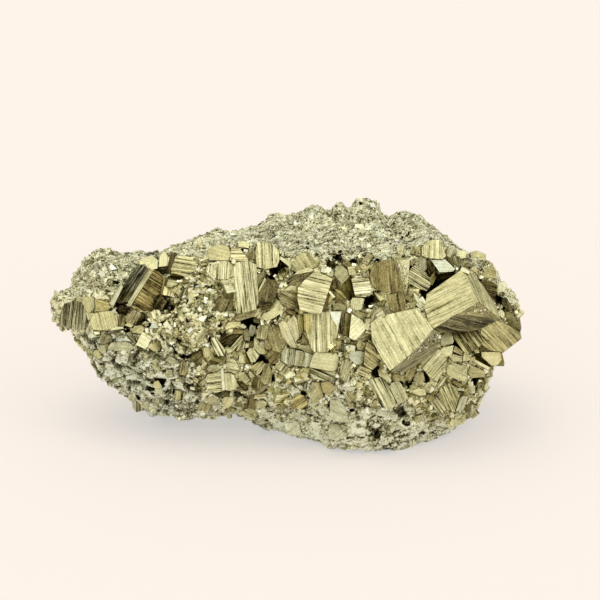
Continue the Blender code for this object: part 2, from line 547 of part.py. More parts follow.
def add_object(name, mesh, collection):
    """An object of a mesh in a collection."""
    thing = bpy.data.objects.new(name, mesh)
    collection.objects.link(thing)
    return thing


def add_guide(name, mesh, collection):
    """An object that only shapes another one."""
    guide = add_object(name, mesh, collection)
    guide.hide_render = True
    guide.display_type = "WIRE"
    return guide


def pyrite():
    """Pale brass-yellow metal with a green-grey cast."""
    material = bpy.data.materials.new("pyrite")
    material.use_nodes = True
    shader = material.node_tree.nodes["Principled BSDF"]
    shader.inputs["Base Color"].default_value = (0.50, 0.47, 0.29, 1.0)
    shader.inputs["Metallic"].default_value = 0.9
    shader.inputs["Roughness"].default_value = 0.38
    return material


def fused_cluster(guides, crystals, cluster):
    """The lump with every crystal joined to it, cut flat underneath."""
    mesh = lump_mesh("pyrite_cluster")
    tree = surface_tree(mesh)
    for name in SHOWING:
        add_guide(name, box_mesh(name, showing_box(tree, name)), crystals)
    for number, matrix in enumerate(hidden_boxes(tree)):
        add_guide(f"hidden {number}", box_mesh("hidden", matrix), crystals)
    stone = add_object("pyrite_cluster", mesh, cluster)
    join = stone.modifiers.new("grown together", "BOOLEAN")
    join.operation = "UNION"
    join.operand_type = "COLLECTION"
    join.collection = crystals
    join.solver = "EXACT"
    block = Matrix.LocRotScale(Vector((0.0, 0.0, -0.5 * BELOW.z)), None, BELOW)
    cut = stone.modifiers.new("flat underside", "BOOLEAN")
    cut.operation = "DIFFERENCE"
    cut.object = add_guide("below", box_mesh("below", block), guides)
    cut.solver = "EXACT"
    return stone


def fill_voids(shape):
    """Keep the outside of the cluster and drop the walls of gaps that are closed all round."""
    left = set(shape.verts)
    shells = []
    while left:
        shell = set()
        front = [left.pop()]
        while front:
            vert = front.pop()
            shell.add(vert)
            beside = {edge.other_vert(vert) for edge in vert.link_edges} & left
            left -= beside
            front.extend(beside)
        shells.append(shell)
    shells.sort(key=len)
    for shell in shells[:-1]:
        bmesh.ops.delete(shape, geom=list(shell), context="VERTS")


def settle(stone):
    """Apply the joins, merge slivers and put the cluster at its real size over its middle."""
    bpy.context.view_layer.update()
    done = bpy.data.meshes.new_from_object(stone.evaluated_get(bpy.context.evaluated_depsgraph_get()))
    stone.modifiers.clear()
    shape = bmesh.new()
    shape.from_mesh(done)
    bmesh.ops.remove_doubles(shape, verts=shape.verts, dist=SLIVER)
    bmesh.ops.dissolve_degenerate(shape, edges=shape.edges, dist=SLIVER)
    bmesh.ops.triangulate(shape, faces=shape.faces)
    fill_voids(shape)
    shape.transform(Matrix.Scale(MM, 4) @ Matrix.Translation(CENTRE))
    stone.data = mesh_of("pyrite_cluster", shape)
    stone.data.materials.append(pyrite())
    bpy.data.meshes.remove(done)


def main():
    """Build the specimen."""
    clear_scene()
    cluster = new_collection("pyrite specimen")
    crystals = new_collection("crystal shapes")
    settle(fused_cluster(new_collection("guides"), crystals, cluster))


main()
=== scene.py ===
# %% [markdown]
# # A pyrite specimen
#
# Pyrite grows as metallic cubes whose faces carry fine parallel grooves. In a hand specimen the
# cubes stand in a mass of the same mineral, which is granular, cracked and full of tiny facets.
# This notebook builds such a specimen from three things: a lofted mass of ore, grooved crystals
# placed one by one, and thousands of small crystals and grains that Geometry Nodes scatter over it.

import math
import random
from itertools import product

import bmesh
import bpy
import numpy as np
from mathutils import Matrix, Vector, noise
from mathutils.bvhtree import BVHTree


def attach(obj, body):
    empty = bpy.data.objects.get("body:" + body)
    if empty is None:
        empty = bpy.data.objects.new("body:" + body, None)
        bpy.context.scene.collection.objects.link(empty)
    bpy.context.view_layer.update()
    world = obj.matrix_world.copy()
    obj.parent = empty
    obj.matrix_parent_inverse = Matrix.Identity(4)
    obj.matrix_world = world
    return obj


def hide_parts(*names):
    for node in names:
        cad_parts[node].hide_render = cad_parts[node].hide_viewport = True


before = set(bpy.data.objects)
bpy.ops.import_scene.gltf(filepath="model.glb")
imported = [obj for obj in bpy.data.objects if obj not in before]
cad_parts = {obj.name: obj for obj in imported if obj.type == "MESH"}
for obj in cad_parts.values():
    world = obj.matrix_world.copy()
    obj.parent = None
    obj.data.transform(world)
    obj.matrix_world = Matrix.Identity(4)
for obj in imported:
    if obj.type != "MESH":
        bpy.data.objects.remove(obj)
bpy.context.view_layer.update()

# %% [markdown]
# ## How places are given
#
# A cluster has no simple axes, so its forms are laid out as somebody in front of it sees them: by
# x along its length and by a seen height in a plane that leans back by the viewing angle. The depth
# follows from where the line of sight meets the ore. All tables are in millimetres, and the finished
# meshes are scaled to metres at the very end, when they are also moved over their own middle.

# %% Units and the viewing plane
MM = 0.001
LOOK_DOWN = math.radians(20.0)
SEEN_ZERO = -6.5
CENTRE = Vector((0.16, -0.06, 0.0))
FAR = 200.0
VIEW_RIGHT = Vector((1.0, 0.0, 0.0))
VIEW_UP = Vector((0.0, math.sin(LOOK_DOWN), math.cos(LOOK_DOWN)))
TO_VIEWER = Vector((0.0, -math.cos(LOOK_DOWN), math.sin(LOOK_DOWN)))


def seen_place(x, seen, depth=0.0):
    """Point at a seen place, this far towards the viewer."""
    return VIEW_RIGHT * x + VIEW_UP * (SEEN_ZERO + seen) + TO_VIEWER * depth


def seen_height(points):
    """Seen heights of an array of points."""
    return points @ np.array(VIEW_UP) - SEEN_ZERO


def height_at(seen, y):
    """Real height of a point that is seen at a given height and lies at depth y."""
    return (SEEN_ZERO + seen - y * math.sin(LOOK_DOWN)) / math.cos(LOOK_DOWN)


# %% [markdown]
# ## The mass of ore
#
# The ore is one irregular lump with a sloping top. A loft suits it: cross-sections stand along the
# length, each drawn by a smooth closed curve through a dozen corners, and the tables say how the
# corners move from end to end. The same tables make the coarse lump, on which the crystals are
# placed, and the fine one that is seen.

# %% Tables of the lump
LEFT_TIP = (-47.0, 29.2)
RIGHT_TIP = (46.6, 26.4)
TIP_DEPTH = -3.0
ROUNDED_FROM = 43.5
SKYLINE = (
    (-47, 29.2), (-45, 31), (-42.6, 32.4), (-42, 35), (-40.4, 38.4), (-38.6, 39.8), (-30, 39.6),
    (-25, 39.6), (-22, 41), (-14, 43.8), (-6, 45.4), (-2, 47), (6, 48.4), (14, 49), (18, 48.4),
    (20.4, 47), (26.4, 47), (28.6, 45.2), (32, 42.6), (36, 39.8), (39.8, 38.6), (42, 34.8), (44, 32.4),
    (46.2, 28.4), (46.6, 26.4),
)
LOWER_EDGE = (
    (-47, 29.2), (-46, 27.6), (-44, 26.2), (-41.4, 24), (-39.4, 19.2), (-37, 14.8), (-34.6, 12.9),
    (-31, 11.8), (-27.6, 9), (-24, 7.2), (-16, 6.8), (-10, 8), (-5, 5.4), (0, 4), (7.4, 1.8), (12.8, 0.2),
    (18, -0.2), (22, 0.2), (27, 2.2), (32.2, 5), (35.4, 7.2), (37.8, 9.6), (39.6, 13.6), (42, 17.8),
    (44, 21.4), (46.6, 26.4),
)
RIM = (
    (-47, 29.2), (-42, 33.4), (-38, 36.6), (-30, 37.4), (-24, 38.6), (-16, 39.4), (-8, 41.2), (0, 39.4),
    (9, 37.8), (22, 38.6), (29, 41.6), (35, 38.6), (40, 35.6), (46.2, 26.4),
)
PLAN = (
    (-47, -3, -3, -3, -3, -3), (-42, -6, -9, -6, 0, 7), (-36, -8, -14, -8, 3, 13),
    (-28, -9, -17, -9, 5, 18), (-18, -11, -20, -9, 8, 21), (-8, -12, -20.5, -8, 12, 23),
    (2, -13, -21.5, -14, 16, 24), (12, -13, -23.5, -20, 18, 25), (20, -13, -24, -20.8, 17, 25),
    (30, -12, -22, -16, 13, 22), (38, -9, -17, -10, 7, 16), (43, -6, -10, -6, 2, 8),
    (46.2, -3, -3, -3, -3, -3),
)
UNDERSIDE = (
    (-47, 24.6, 25), (-43, 18.5, 19.5), (-38, 10.5, 12.5), (-32, 3.5, 7), (-27, -0.9, 3.6),
    (-10, -0.9, 3), (-3, -0.9, 0.4), (2, -0.9, -0.9), (33, -0.9, -0.9), (38, 5, 5), (42, 13, 13),
    (46.6, 22, 22),
)
SWELLS = (
    (-17.5, 27, 7.5, 3), (-9, 20.5, 6.5, -3.5), (-14.5, 14, 4, -1.5), (33, 19, 5, -2.5),
    (38.2, 13.8, 2.2, -2.5), (-25.6, 30, 2.4, -4), (15, 8, 9, 1.5), (-31, 16, 6, 1.2), (8, 31, 8, -1.8),
    (24, 31, 7, -1.8), (-41, 34.2, 1.6, -2), (-1, 37, 2.6, -2.5),
)
SWELL_FADE = 1.6
# Lumps on the skyline: x, seen height, reach along and up, rise.
CROWNS = (
    (16.2, 48.6, 2.8, 3, 2), (10.6, 48.6, 1.3, 2, 1.3), (5.6, 48, 1.6, 2, 0.9),
    (-2.6, 46.6, 1.6, 1.6, 0.8), (24, 47, 2.6, 1.6, 0.9), (-14.2, 43.6, 1.4, 1.4, 0.6),
    (42, 34.8, 1.8, 2, 1.4), (-36.5, 40, 3.4, 2, 0.6), (-30.5, 39.6, 2, 1.6, 0.4),
)
RELIEF = ((6.5, 0.9), (2.6, 0.35))
RELIEF_PLACE = Vector((3.1, 7.7, 1.9))
FRONT_CORNERS = (
    (1.0, 0.0, 0.0, 0.0), (0.25, 0.75, 0.0, 0.20), (0.0, 1.0, 0.0, 0.45), (0.0, 0.65, 0.35, 0.78),
    (0.0, 0.0, 1.0, 1.0),
)
BACK_CORNERS = ((1.0, 0.0, 0.0), (0.25, 0.75, 0.22), (0.0, 1.0, 0.52), (0.20, 0.80, 0.86))
UNDER_MIDDLE = (0.45, 0.10)
UNDER_FRONT = 0.5


def along_table(table, x):
    """Row of a table at x, straight between its rows."""
    if x <= table[0][0]:
        return table[0][1:]
    for low, high in zip(table, table[1:]):
        if x <= high[0]:
            t = (x - low[0]) / (high[0] - low[0])
            return tuple(a + (b - a) * t for a, b in zip(low[1:], high[1:]))
    return table[-1][1:]


def many_along(table, x, column=1):
    """One column of a table at many places."""
    rows = np.array(table)
    return np.interp(x, rows[:, 0], rows[:, column])


# %% Cross-sections of the lump
def section(x):
    """Corners of the cross-section at x, from the foot up the front, over and down the back."""
    skyline = along_table(SKYLINE, x)[0]
    rim_seen = min(along_table(RIM, x)[0], skyline)
    rim_y, belly_y, foot_y, crown_y, back_y = along_table(PLAN, x)
    under, front_under = along_table(UNDERSIDE, x)
    foot_z = height_at(along_table(LOWER_EDGE, x)[0], foot_y)
    rise = height_at(rim_seen, rim_y) - foot_z
    crown_z = height_at(skyline, crown_y)
    front = [(a * foot_y + b * belly_y + c * rim_y, foot_z + share * rise)
             for a, b, c, share in FRONT_CORNERS]
    back = [(a * crown_y + b * back_y, crown_z - share * (crown_z - under))
            for a, b, share in BACK_CORNERS]
    top = tuple(0.5 * (a + b) for a, b in zip(front[-1], back[0]))
    middle = UNDER_MIDDLE[0] * crown_y + UNDER_MIDDLE[1] * back_y
    below = [(middle, min(under, foot_z)), (UNDER_FRONT * foot_y, min(front_under, foot_z))]
    return np.array(front + [top] + back + below)


def rounded_ring(corners, steps):
    """Closed Catmull-Rom curve through the corners of a section; steps holds a count for each."""
    start = np.repeat(np.arange(len(corners)), steps)
    t = np.concatenate([np.arange(count) / count for count in steps])[:, None]
    a, b, c, d = (corners[(start + shift) % len(corners)] for shift in (-1, 0, 1, 2))
    return 0.5 * (2 * b + (c - a) * t + (2 * a - 5 * b + 4 * c - d) * t * t
                  + (3 * b - a - 3 * c + d) * t ** 3)


def lump_rings(stations, steps, even_share=0.5):
    """Rings of the smooth lump as an array: station, place around, coordinate."""
    way = (np.arange(stations) + 0.5) / stations
    way = even_share * way + (1.0 - even_share) * (0.5 - 0.5 * np.cos(np.pi * way))
    rings = []
    for x in LEFT_TIP[0] + (RIGHT_TIP[0] - LEFT_TIP[0]) * way:
        tip_x, tip_seen = RIGHT_TIP if x > 0.0 else LEFT_TIP
        tip = np.array((TIP_DEPTH, height_at(tip_seen, TIP_DEPTH)))
        past = max(0.0, abs(x) - ROUNDED_FROM) / (abs(tip_x) - ROUNDED_FROM)
        full = rounded_ring(section(max(-ROUNDED_FROM, min(ROUNDED_FROM, x))), steps)
        drawn_in = tip + (full - tip) * math.sqrt(1.0 - past * past)
        rings.append(np.column_stack((np.full(len(drawn_in), x), drawn_in)))
    return np.array(rings)


def ring_normals(rings):
    """Outward normals of the rings' points."""
    around = np.roll(rings, -1, axis=1) - np.roll(rings, 1, axis=1)
    along = np.gradient(rings, axis=0)
    normals = np.cross(around, along)
    normals /= np.linalg.norm(normals, axis=2, keepdims=True) + 1e-9
    outward = rings - rings.mean(axis=1, keepdims=True)
    if (normals * outward).sum() < 0.0:
        normals = -normals
    return normals


# %% Swells and lumps
def swollen(points, normals):
    """The points with the broad swells, hollows and lumps added."""
    seen = seen_height(points)
    facing = np.clip(normals @ np.array(TO_VIEWER), 0.0, None)
    swell = np.zeros(len(points))
    for x, v, radius, height in SWELLS:
        swell += height * np.exp(-((points[:, 0] - x) ** 2 + (seen - v) ** 2) / radius ** 2)
    moved = points + np.array(TO_VIEWER) * (swell * np.minimum(1.0, SWELL_FADE * facing))[:, None]
    for x, v, reach, high, rise in CROWNS:
        share = np.exp(-((points[:, 0] - x) / reach) ** 4 - ((seen - v) / high) ** 2)
        moved += np.array(VIEW_UP) * (rise * share * np.clip(2.0 * normals[:, 2], 0.0, 1.0))[:, None]
    lumps = np.zeros(len(points))
    for size, height in RELIEF:
        lumps += [height * noise.noise(Vector(p) / size + RELIEF_PLACE) for p in moved]
    return moved + normals * lumps[:, None]


def ring_faces(stations, around):
    """Faces that join the rings and close the two ends on a last point each."""
    faces = []
    for s in range(stations - 1):
        for k in range(around):
            n = (k + 1) % around
            faces.append((s * around + k, (s + 1) * around + k, (s + 1) * around + n, s * around + n))
    left, right = stations * around, stations * around + 1
    last = (stations - 1) * around
    for k in range(around):
        n = (k + 1) % around
        faces.append((left, k, n))
        faces.append((right, last + n, last + k))
    return faces


def tips():
    """The two end points."""
    return np.array([(x, TIP_DEPTH, height_at(seen, TIP_DEPTH)) for x, seen in (LEFT_TIP, RIGHT_TIP)])


COARSE_STATIONS, COARSE_STEPS = 38, (3,) * 12
coarse_rings = lump_rings(COARSE_STATIONS, COARSE_STEPS)
coarse_normals = ring_normals(coarse_rings).reshape(-1, 3)
coarse_points = np.vstack((swollen(coarse_rings.reshape(-1, 3), coarse_normals), tips()))
lump_tree = BVHTree.FromPolygons(coarse_points.tolist(),
                                 ring_faces(COARSE_STATIONS, coarse_rings.shape[1]))
print("coarse lump:", len(coarse_points), "points")


# %% [markdown]
# ## Where each crystal stands
#
# What shows of a crystal is one to three flat faces. Each is described by its outline in the
# viewing plane, which is a convex polygon, the direction of its grooves, and its tone. A face either
# leans by itself on the lump, or is joined to another face along the edge that both share, and
# drops away behind that edge. That is how the sides of one crystal stay together.

# %% Table of the faces that show
# Angle of the grooves in degrees, shade from 0 to 255, warmth from -1 (bluish) to 1 (gold), how
# clear the grooves are, and x and seen height of the corners, anticlockwise. The shade is how bright
# the face looks, so it carries painted light and shade, and the darkest faces, in hollows, holes
# and under other crystals, are painted shadow.
FACES = {
    # right part
    "great slab": (-60, 206, 0.1, 0.16, (20.6,16.2, 23.4,18.4, 26.6,21.4, 29.2,24.4, 27,27.4, 25.4,28.5,
        18.4,26.9, 16.8,25.6, 17,22.4, 18.8,19)),
    "slab side": (30, 166, -0.5, 0.08, (20.6,15.9, 23.8,16.1, 26.2,17.6, 29.8,20.4, 30.4,23.8, 29.2,24.5)),
    "great cube": (25, 208, 0.3, 0.16, (29.3,24.5, 38.2,29.8, 34.8,36, 34,35.6, 27.9,31.3, 27.5,28.8,
        28.2,25.8)),
    "cube right": (-66, 206, 0.2, 0.22, (38.2,29.8, 42.3,26.6, 40.9,29.9, 38.6,33.4, 35.6,36.6, 34.9,36)),
    "broken corner": (20, 198, 0.1, 0.1, (34.2,27.4, 38.6,26.9, 42.2,26.6, 38.2,29.8)),
    "cube bottom": (-14, 140, -0.3, 0.3, (30.8,23.9, 34,23.8, 38.4,24.4, 41.9,26.2, 38.6,27.2, 34,27.6,
        29.4,24.6)),
    "cube bottom left": (-14, 92, -0.6, 0.25, (30.6,23.9, 34.2,23.9, 35.6,25, 34.2,26.2, 29.6,24.7)),
    "cube ridge": (-60, 240, -0.1, 0.05, (34.6,36, 36.3,35.3, 36.4,35.8, 34.9,36.8)),
    "right wing": (-45, 178, 0.5, 0.22, (38.9,21.4, 40.9,20.1, 43.3,19.9, 46.8,22.6, 46.6,23.6, 43.2,25.8,
        41.9,26.1, 38.7,24.6)),
    "wing rim": (-75, 165, -0.2, 0.1, (44.4,25.2, 46.6,23.4, 46.9,24.6, 46.6,26.6, 45.2,27, 43.6,26.2)),
    "pale lip": (0, 252, 0.4, 0.05, (39,18.9, 40.9,17.2, 42.2,17.3, 43,18.4, 42.7,19.8, 38.9,19.9)),
    "lip side": (80, 205, -0.3, 0.05, (42.2,17.1, 43.4,17, 43.5,17.6, 43,19.7, 42.7,19.8)),
    "dark lip": (-40, 128, 0.4, 0.16, (37.4,18.4, 40.2,16.9, 40.9,17.1, 38.8,19.9, 36.9,19.8)),
    "lip edge": (-35, 235, 0.1, 0.05, (37,18.1, 40.2,16.3, 40.6,16.7, 37.2,18.6)),
    "brown block": (-55, 140, 0.5, 0.42, (35.2,20, 36.2,19.5, 37,20.2, 35.4,23.8, 34.6,24.2, 33,23.4,
        33.1,22.8)),
    "brown block side": (-55, 176, 0.2, 0.35, (36.6,20.2, 37.4,20.2, 38.8,21.4, 38.9,23, 38,24.4, 35.4,24.4,
        34.9,23.8)),
    "block shade": (-30, 90, 0.6, 0.1, (38.4,20.2, 40.8,20, 38.9,21.6, 38.4,21.2)),
    "little pale": (85, 190, -0.1, 0.08, (30.8,21.2, 33,21.5, 33.3,22, 32.9,23.6, 31.5,23.7, 30.7,22.6)),
    "bright step": (20, 226, 0, 0.1, (31.6,18.9, 32.9,19.2, 33.3,21.2, 31.2,20.8, 30.5,20.3)),
    "step side": (-35, 214, 0.1, 0.3, (33.2,20.1, 35,19.2, 35.2,20, 33.6,21.2)),
    "step ledge": (-12, 222, 0, 0.3, (33.2,18.1, 34.9,17.9, 35.1,19, 33.2,19.4, 32.4,18.9)),
    "step stub": (85, 222, 0.2, 0.1, (35.1,18, 36.6,18.2, 36.3,19.8, 35.4,19.9)),
    "olive tablet": (48, 178, 0.1, 0.22, (28.4,15, 30,14, 31.9,17.4, 31.8,18.6, 30.4,20.4, 29,20.4,
        26.3,17.9, 26.9,17)),
    "grey stub": (80, 150, 0.1, 0.08, (25.2,14.2, 26.4,13.9, 27.6,14.2, 27.2,15.8, 26.2,16, 25.5,15.4)),
    "gold scrap": (60, 128, 0.6, 0.1, (23.7,14.8, 24.8,14.2, 25.5,15.5, 25.2,16.6, 23.8,16.2)),
    "bright blade": (10, 228, 0.2, 0.12, (24.8,11.8, 26.6,11.2, 27.8,11.4, 27.6,12.4, 26.2,12.7, 25.2,12.4)),
    "pale bar": (55, 214, 0, 0.16, (30.2,12.9, 30.9,13.2, 31.8,14.8, 31.2,15.1, 30,13.5)),
    "lower tablet": (-25, 182, 0.1, 0.12, (33,14.8, 35.6,13.9, 35.9,15.2, 36.1,16.9, 33,17.8, 32,17,
        32,15.5)),
    "edge tablet": (-10, 190, 0.2, 0.08, (36.9,14.7, 39.4,14.9, 39.7,15.9, 37.6,16.9, 36.8,17.2, 36.2,15.8)),
    "low tablet": (50, 196, -0.4, 0.08, (36.2,11.6, 37.6,11.6, 37.7,13.1, 36.8,13.4, 36.1,12.8)),
    "brown strip": (-35, 135, 0.7, 0.25, (32.8,13.8, 34.8,12.7, 35.1,13.3, 33.4,14.2)),
    "lower cube": (-66, 158, 0.3, 0.35, (32,8.5, 33.5,8, 34.6,11.4, 33.8,12.6, 32.5,13.8, 30.6,12.6,
        30.3,11.2)),
    "cube splinters": (-55, 176, 0, 0.5, (28.4,9.4, 30.8,7.4, 31.8,8.4, 30.6,10.9, 29.6,11.1, 28.4,10.6)),
    "lower cube side": (65, 200, -0.6, 0.12, (33.8,8.2, 35.2,8.4, 36.1,11, 35.2,11.2, 34.6,10.8)),
    "ribbed left": (-62, 190, 0, 0.45, (18.9,9, 20.4,8.4, 21.9,9.4, 20.8,12.2, 19.2,15, 16.5,14.5,
        17.2,12.4)),
    "ribbed right": (-62, 186, -0.1, 0.14, (22.2,9.6, 23.3,9.9, 24.2,10.8, 22.9,13.5, 22.2,14.3, 20.8,13.7,
        20.7,12.6)),
    "ribbed top": (-60, 224, 0.1, 0.14, (20.6,13.8, 20.9,14.2, 20.2,15.6, 19.2,16.5, 18.2,16.4, 18.5,15.2)),
    "ribbed stub": (-62, 130, 0.4, 0.16, (21,14.4, 21.6,14.1, 23.4,14.2, 23.2,15.2, 21.2,15.6)),
    "tall olive prism": (-84, 150, 0.7, 0.1, (17.9,32.4, 19.6,31.9, 23.2,31.8, 21.4,37.9, 20.6,38.1,
        17.3,37.4, 16.6,35, 17.2,33.2)),
    "olive shade": (-84, 112, 0.4, 0.08, (21,32, 23.1,31.9, 21.5,37.4, 21.2,36)),
    "low olive prism": (-80, 122, 0.6, 0.14, (22,27.2, 24.1,27.2, 24.2,28.2, 23.4,31, 23,31.8, 19.9,31.2,
        20,29.8, 20.8,28.2)),
    "rough strip": (-70, 246, 0.1, 0.05, (23.2,31, 23.9,31, 24.2,33.6, 24.6,38.2, 21.7,38.1, 21.3,37.2,
        22.2,34)),
    "striped tile": (-32, 190, 0, 0.42, (24.3,33.7, 26.2,32.5, 27.9,32, 28.6,32.9, 28.6,34.6, 27.4,35.9,
        25.9,37.4, 24.9,36.6, 24.1,35.2)),
    "tile cap": (86, 160, -0.3, 0.1, (26.4,36.4, 27,35.5, 27.9,36.4, 28.2,38, 27.3,38.5, 26.3,38.2)),
    "tile shade": (-70, 82, 0.6, 0.1, (28.4,35, 29.2,34.8, 29.7,36.2, 29.2,37.4, 28.3,38.1, 28,36.8)),
    "tile right": (60, 150, 0.2, 0.14, (28.6,33.2, 29.1,33.2, 29.9,35, 29.6,36, 28.6,34.8)),
    "green facet": (0, 216, -0.9, 0.04, (30.4,35.7, 33.2,35.9, 33.5,36.4, 31.5,38.3, 28.8,38.1)),
    "dark underside": (12, 92, 0.6, 0.4, (30,33.1, 31.6,33, 33.6,35, 33.4,36, 30.1,35.6, 29.8,34.4)),
    "ribbed crown": (88, 200, 0.2, 0.2, (26.9,39, 28.4,38.5, 31,38.3, 31.7,38.9, 31.2,40.6, 30.6,42.1, 28,42,
        27,40.6)),
    "dark ribbed": (-75, 120, 0.1, 0.3, (33.2,37, 34.4,36.4, 34.9,38, 34.4,38.8, 32.2,39.1, 31.6,38.6)),
    "rim pale": (5, 224, 0.1, 0.08, (34.8,38.4, 35.6,38.6, 35.9,39.8, 33.6,40.1, 33.1,39.3)),
    "rim stub one": (70, 214, 0.1, 0.12, (22.2,39.4, 23.4,38.8, 24,39.8, 23.2,41.2, 22,40.8)),
    "rim stub two": (-75, 172, 0.5, 0.16, (24.9,39.4, 26.6,39, 26.8,40.4, 25.6,41, 24.8,40.6)),
    "shoulder top": (-5, 196, 0.3, 0.06, (36.9,38.5, 38.4,38, 39.8,38.3, 39.9,39.3, 38.2,40, 36.9,39.7)),
    "shoulder block": (-15, 158, 0.4, 0.12, (38.2,34.8, 41.8,34.4, 41.9,35.8, 41.2,37.4, 40.2,38)),
    "right ribbed": (-14, 142, 0.4, 0.24, (38.9,32.7, 41.1,30.4, 42,31.6, 42,33.2, 40.6,34, 38.4,33.9)),
    "right white": (80, 224, -0.2, 0.06, (42.4,31.8, 43.6,31.9, 44.1,33.2, 43.6,33.9, 42.2,33.6)),
    "right grey": (-70, 92, 0.2, 0.1, (43.2,29.2, 44.2,28.1, 45.4,27.9, 44.9,29.2, 43.9,30.7, 43,30.4)),
    "right bright": (90, 238, 0.1, 0.04, (42.3,27.3, 43.2,26.5, 43.5,27.6, 43,28.2, 42.2,28)),
    "right pale": (-10, 178, 0.1, 0.08, (43.8,26.6, 45,26, 45.4,27.2, 44.6,27.7, 43.7,27.9)),
    # middle
    "fluted cube": (-12, 212, 0.2, 0.4, (2.8,28.3, 4.4,27.8, 6.7,27.4, 7.1,27.8, 9.2,34.4, 7.4,35.3,
        5.7,35.9, 3.6,34, 2.4,32.6, 2.3,30.4)),
    "fluted side": (78, 112, 0.2, 0.1, (7.1,27.9, 7.9,28.1, 9.8,33.9, 9.2,34.3)),
    "leaning prism": (32, 104, 0.2, 0.1, (0.4,33.2, 2.2,32.6, 5.6,34.9, 5.4,35.9, 4.6,36.3, 1.6,35.2,
        0.3,34.4)),
    "prism lip": (24, 224, 0.2, 0.06, (1.6,35.2, 5.4,35.9, 5.2,36.4, 4.4,36.7, 2.2,35.8)),
    "upper face": (-52, 178, 0.3, 0.2, (2.1,35.6, 5.2,36.5, 6.1,36.9, 5,39, 4.2,39.8, 2.6,39.2, 1,37.3)),
    "upper ribs": (-55, 160, 0.3, 0.45, (6,36.9, 6.4,37.2, 4.8,39.6, 4.1,39.9, 4.2,39)),
    "cream rim": (-50, 222, 0.1, 0.06, (2.1,35.6, 2.2,36.2, 1.4,37.4, -1.1,38.9, -1.2,38.3)),
    "grey block": (50, 180, 0, 0.12, (10.4,34.2, 11.2,33.4, 12.5,34.8, 12.1,36.2, 11,37.1, 9.9,36.8,
        9.6,35.2)),
    "grey block side": (-65, 162, 0.3, 0.12, (11.2,31.6, 12.4,30.4, 13.2,30.4, 13.9,31.8, 12.9,34.6,
        12.5,34.8, 11.3,33.4)),
    "block left": (-65, 206, -0.1, 0.1, (9.9,33.4, 10.6,32, 11.2,31.7, 11.2,33.4, 9.7,34.9)),
    "gold slope": (-40, 132, 0.8, 0.14, (9.9,29.7, 11.4,29.4, 12,30.6, 10.9,32, 9.6,32.6, 9.4,31.2)),
    "gold box": (40, 190, 0.9, 0.08, (8.1,29.6, 8.6,29.5, 9.6,30.7, 9.3,31.1, 8.6,31.9, 8.1,30.8)),
    "box line": (-50, 244, 0, 0.03, (9.3,30.6, 9.8,30.8, 8.8,32, 8.4,31.9)),
    "nest pale": (25, 196, 0.1, 0.1, (9.2,28.2, 11.8,28.1, 12,29.2, 10.2,29.6, 9.4,29.4)),
    "dark notch": (70, 62, 0.1, 0.08, (8.6,32.2, 10,32.6, 9.8,33.8, 9.4,34.3)),
    "white ribbed": (6, 232, 0, 0.42, (13.7,31, 15.8,30.8, 16.8,31.8, 17,32.4, 16.4,34.6, 14,35, 13,34.4)),
    "small square": (80, 212, 0.1, 0.1, (13,28.6, 13.9,28, 15,28.4, 15.6,30.4, 15,30.6, 13.2,30.6, 12.9,30)),
    "small shelf": (-20, 152, 0.4, 0.12, (13.4,27.6, 14.6,26.5, 16.4,27, 17,27.8, 15.4,28.3, 14.2,28)),
    "slim pale": (-70, 200, -0.3, 0.08, (15.7,34.4, 16.6,34.7, 16.4,36, 15.6,36.3, 15.2,35.4)),
    "dark tilt": (-50, 118, 0.4, 0.14, (11.4,37.1, 12.4,36.6, 13.2,37, 12,38.3, 11.3,38.3)),
    "dark hollow": (10, 70, 0.6, 0.1, (8,36.5, 9.6,36.6, 10,37.2, 9.5,38, 8.6,38, 8.2,37.2)),
    "left blade": (-66, 236, 0, 0.16, (1.2,20.6, 2.2,20.7, 0.2,25.7, -0.4,26, -1.5,25.6, -0.6,22.8)),
    "middle blade": (-76, 218, 0.1, 0.2, (1.9,21.9, 2.6,22.8, 2.3,26.2, 1.6,27.2, 0.9,26.6, 0.2,25.7)),
    "right blade": (-82, 204, 0, 0.2, (2.7,22.8, 3.4,23.6, 3.7,26.8, 2.7,27.3, 2,27.2, 2.3,25)),
    "ribbed wall": (-88, 198, 0.2, 0.3, (4.9,20.9, 5.6,19.9, 8.3,19.9, 10.1,23, 11,27.9, 4.5,27.8, 4,24)),
    "wall cap": (-80, 246, -0.5, 0.05, (8.7,27.9, 9.1,26.6, 10,25.2, 10.6,25.8, 11,27.9)),
    "wall gold": (-88, 188, 0.9, 0.16, (3.7,24.2, 4.6,23.4, 5,24.6, 4.9,27.4, 3.6,27.5)),
    "brown wedge": (-60, 108, 0.5, 0.1, (2.9,21.6, 4.9,21.2, 4.8,22.2, 3.8,24, 3.5,23.8)),
    "grey shelf": (84, 168, -0.4, 0.2, (0,17.6, 4,16.9, 4.6,17.2, 5.3,19.2, 3.8,19.9, 0.4,20.6, -0.8,20.2,
        -0.9,18.2)),
    "shelf shade": (84, 132, 0, 0.16, (2.6,17.2, 4.1,17, 4.7,17.4, 5.3,19.1, 3.8,19.8, 2.8,19.8)),
    "pale shelf": (-10, 214, 0.1, 0.06, (4.6,16.9, 9.2,16.1, 10,16.4, 10.6,18.2, 10,19.7, 6,19.9, 5.4,19.3)),
    "shelf fan": (-24, 156, -0.2, 0.3, (5.6,14.6, 8.4,14.1, 10,14.6, 9.8,15.9, 6.4,16.6, 4.6,16.7,
        4.5,15.8)),
    "blade foot": (-15, 208, 0.1, 0.1, (2.4,20.9, 3.6,20, 5.2,19.7, 5.2,20.4, 4.6,21.2, 3.2,21.2)),
    "dark stub": (-85, 88, 0, 0.14, (10.2,24, 11.2,23.8, 11.8,25, 11.8,27.6, 11.2,27.8, 10.5,25.8)),
    "stub light": (-85, 164, 0.3, 0.2, (11.2,23.4, 12.3,23.2, 12.8,25, 12.9,27, 11.9,27.6)),
    "pale kite": (46, 228, 0, 0.14, (13.1,22.4, 13.9,22.3, 15.7,24.3, 15.9,25, 14.9,26.3, 13.3,27.3, 13,27.2,
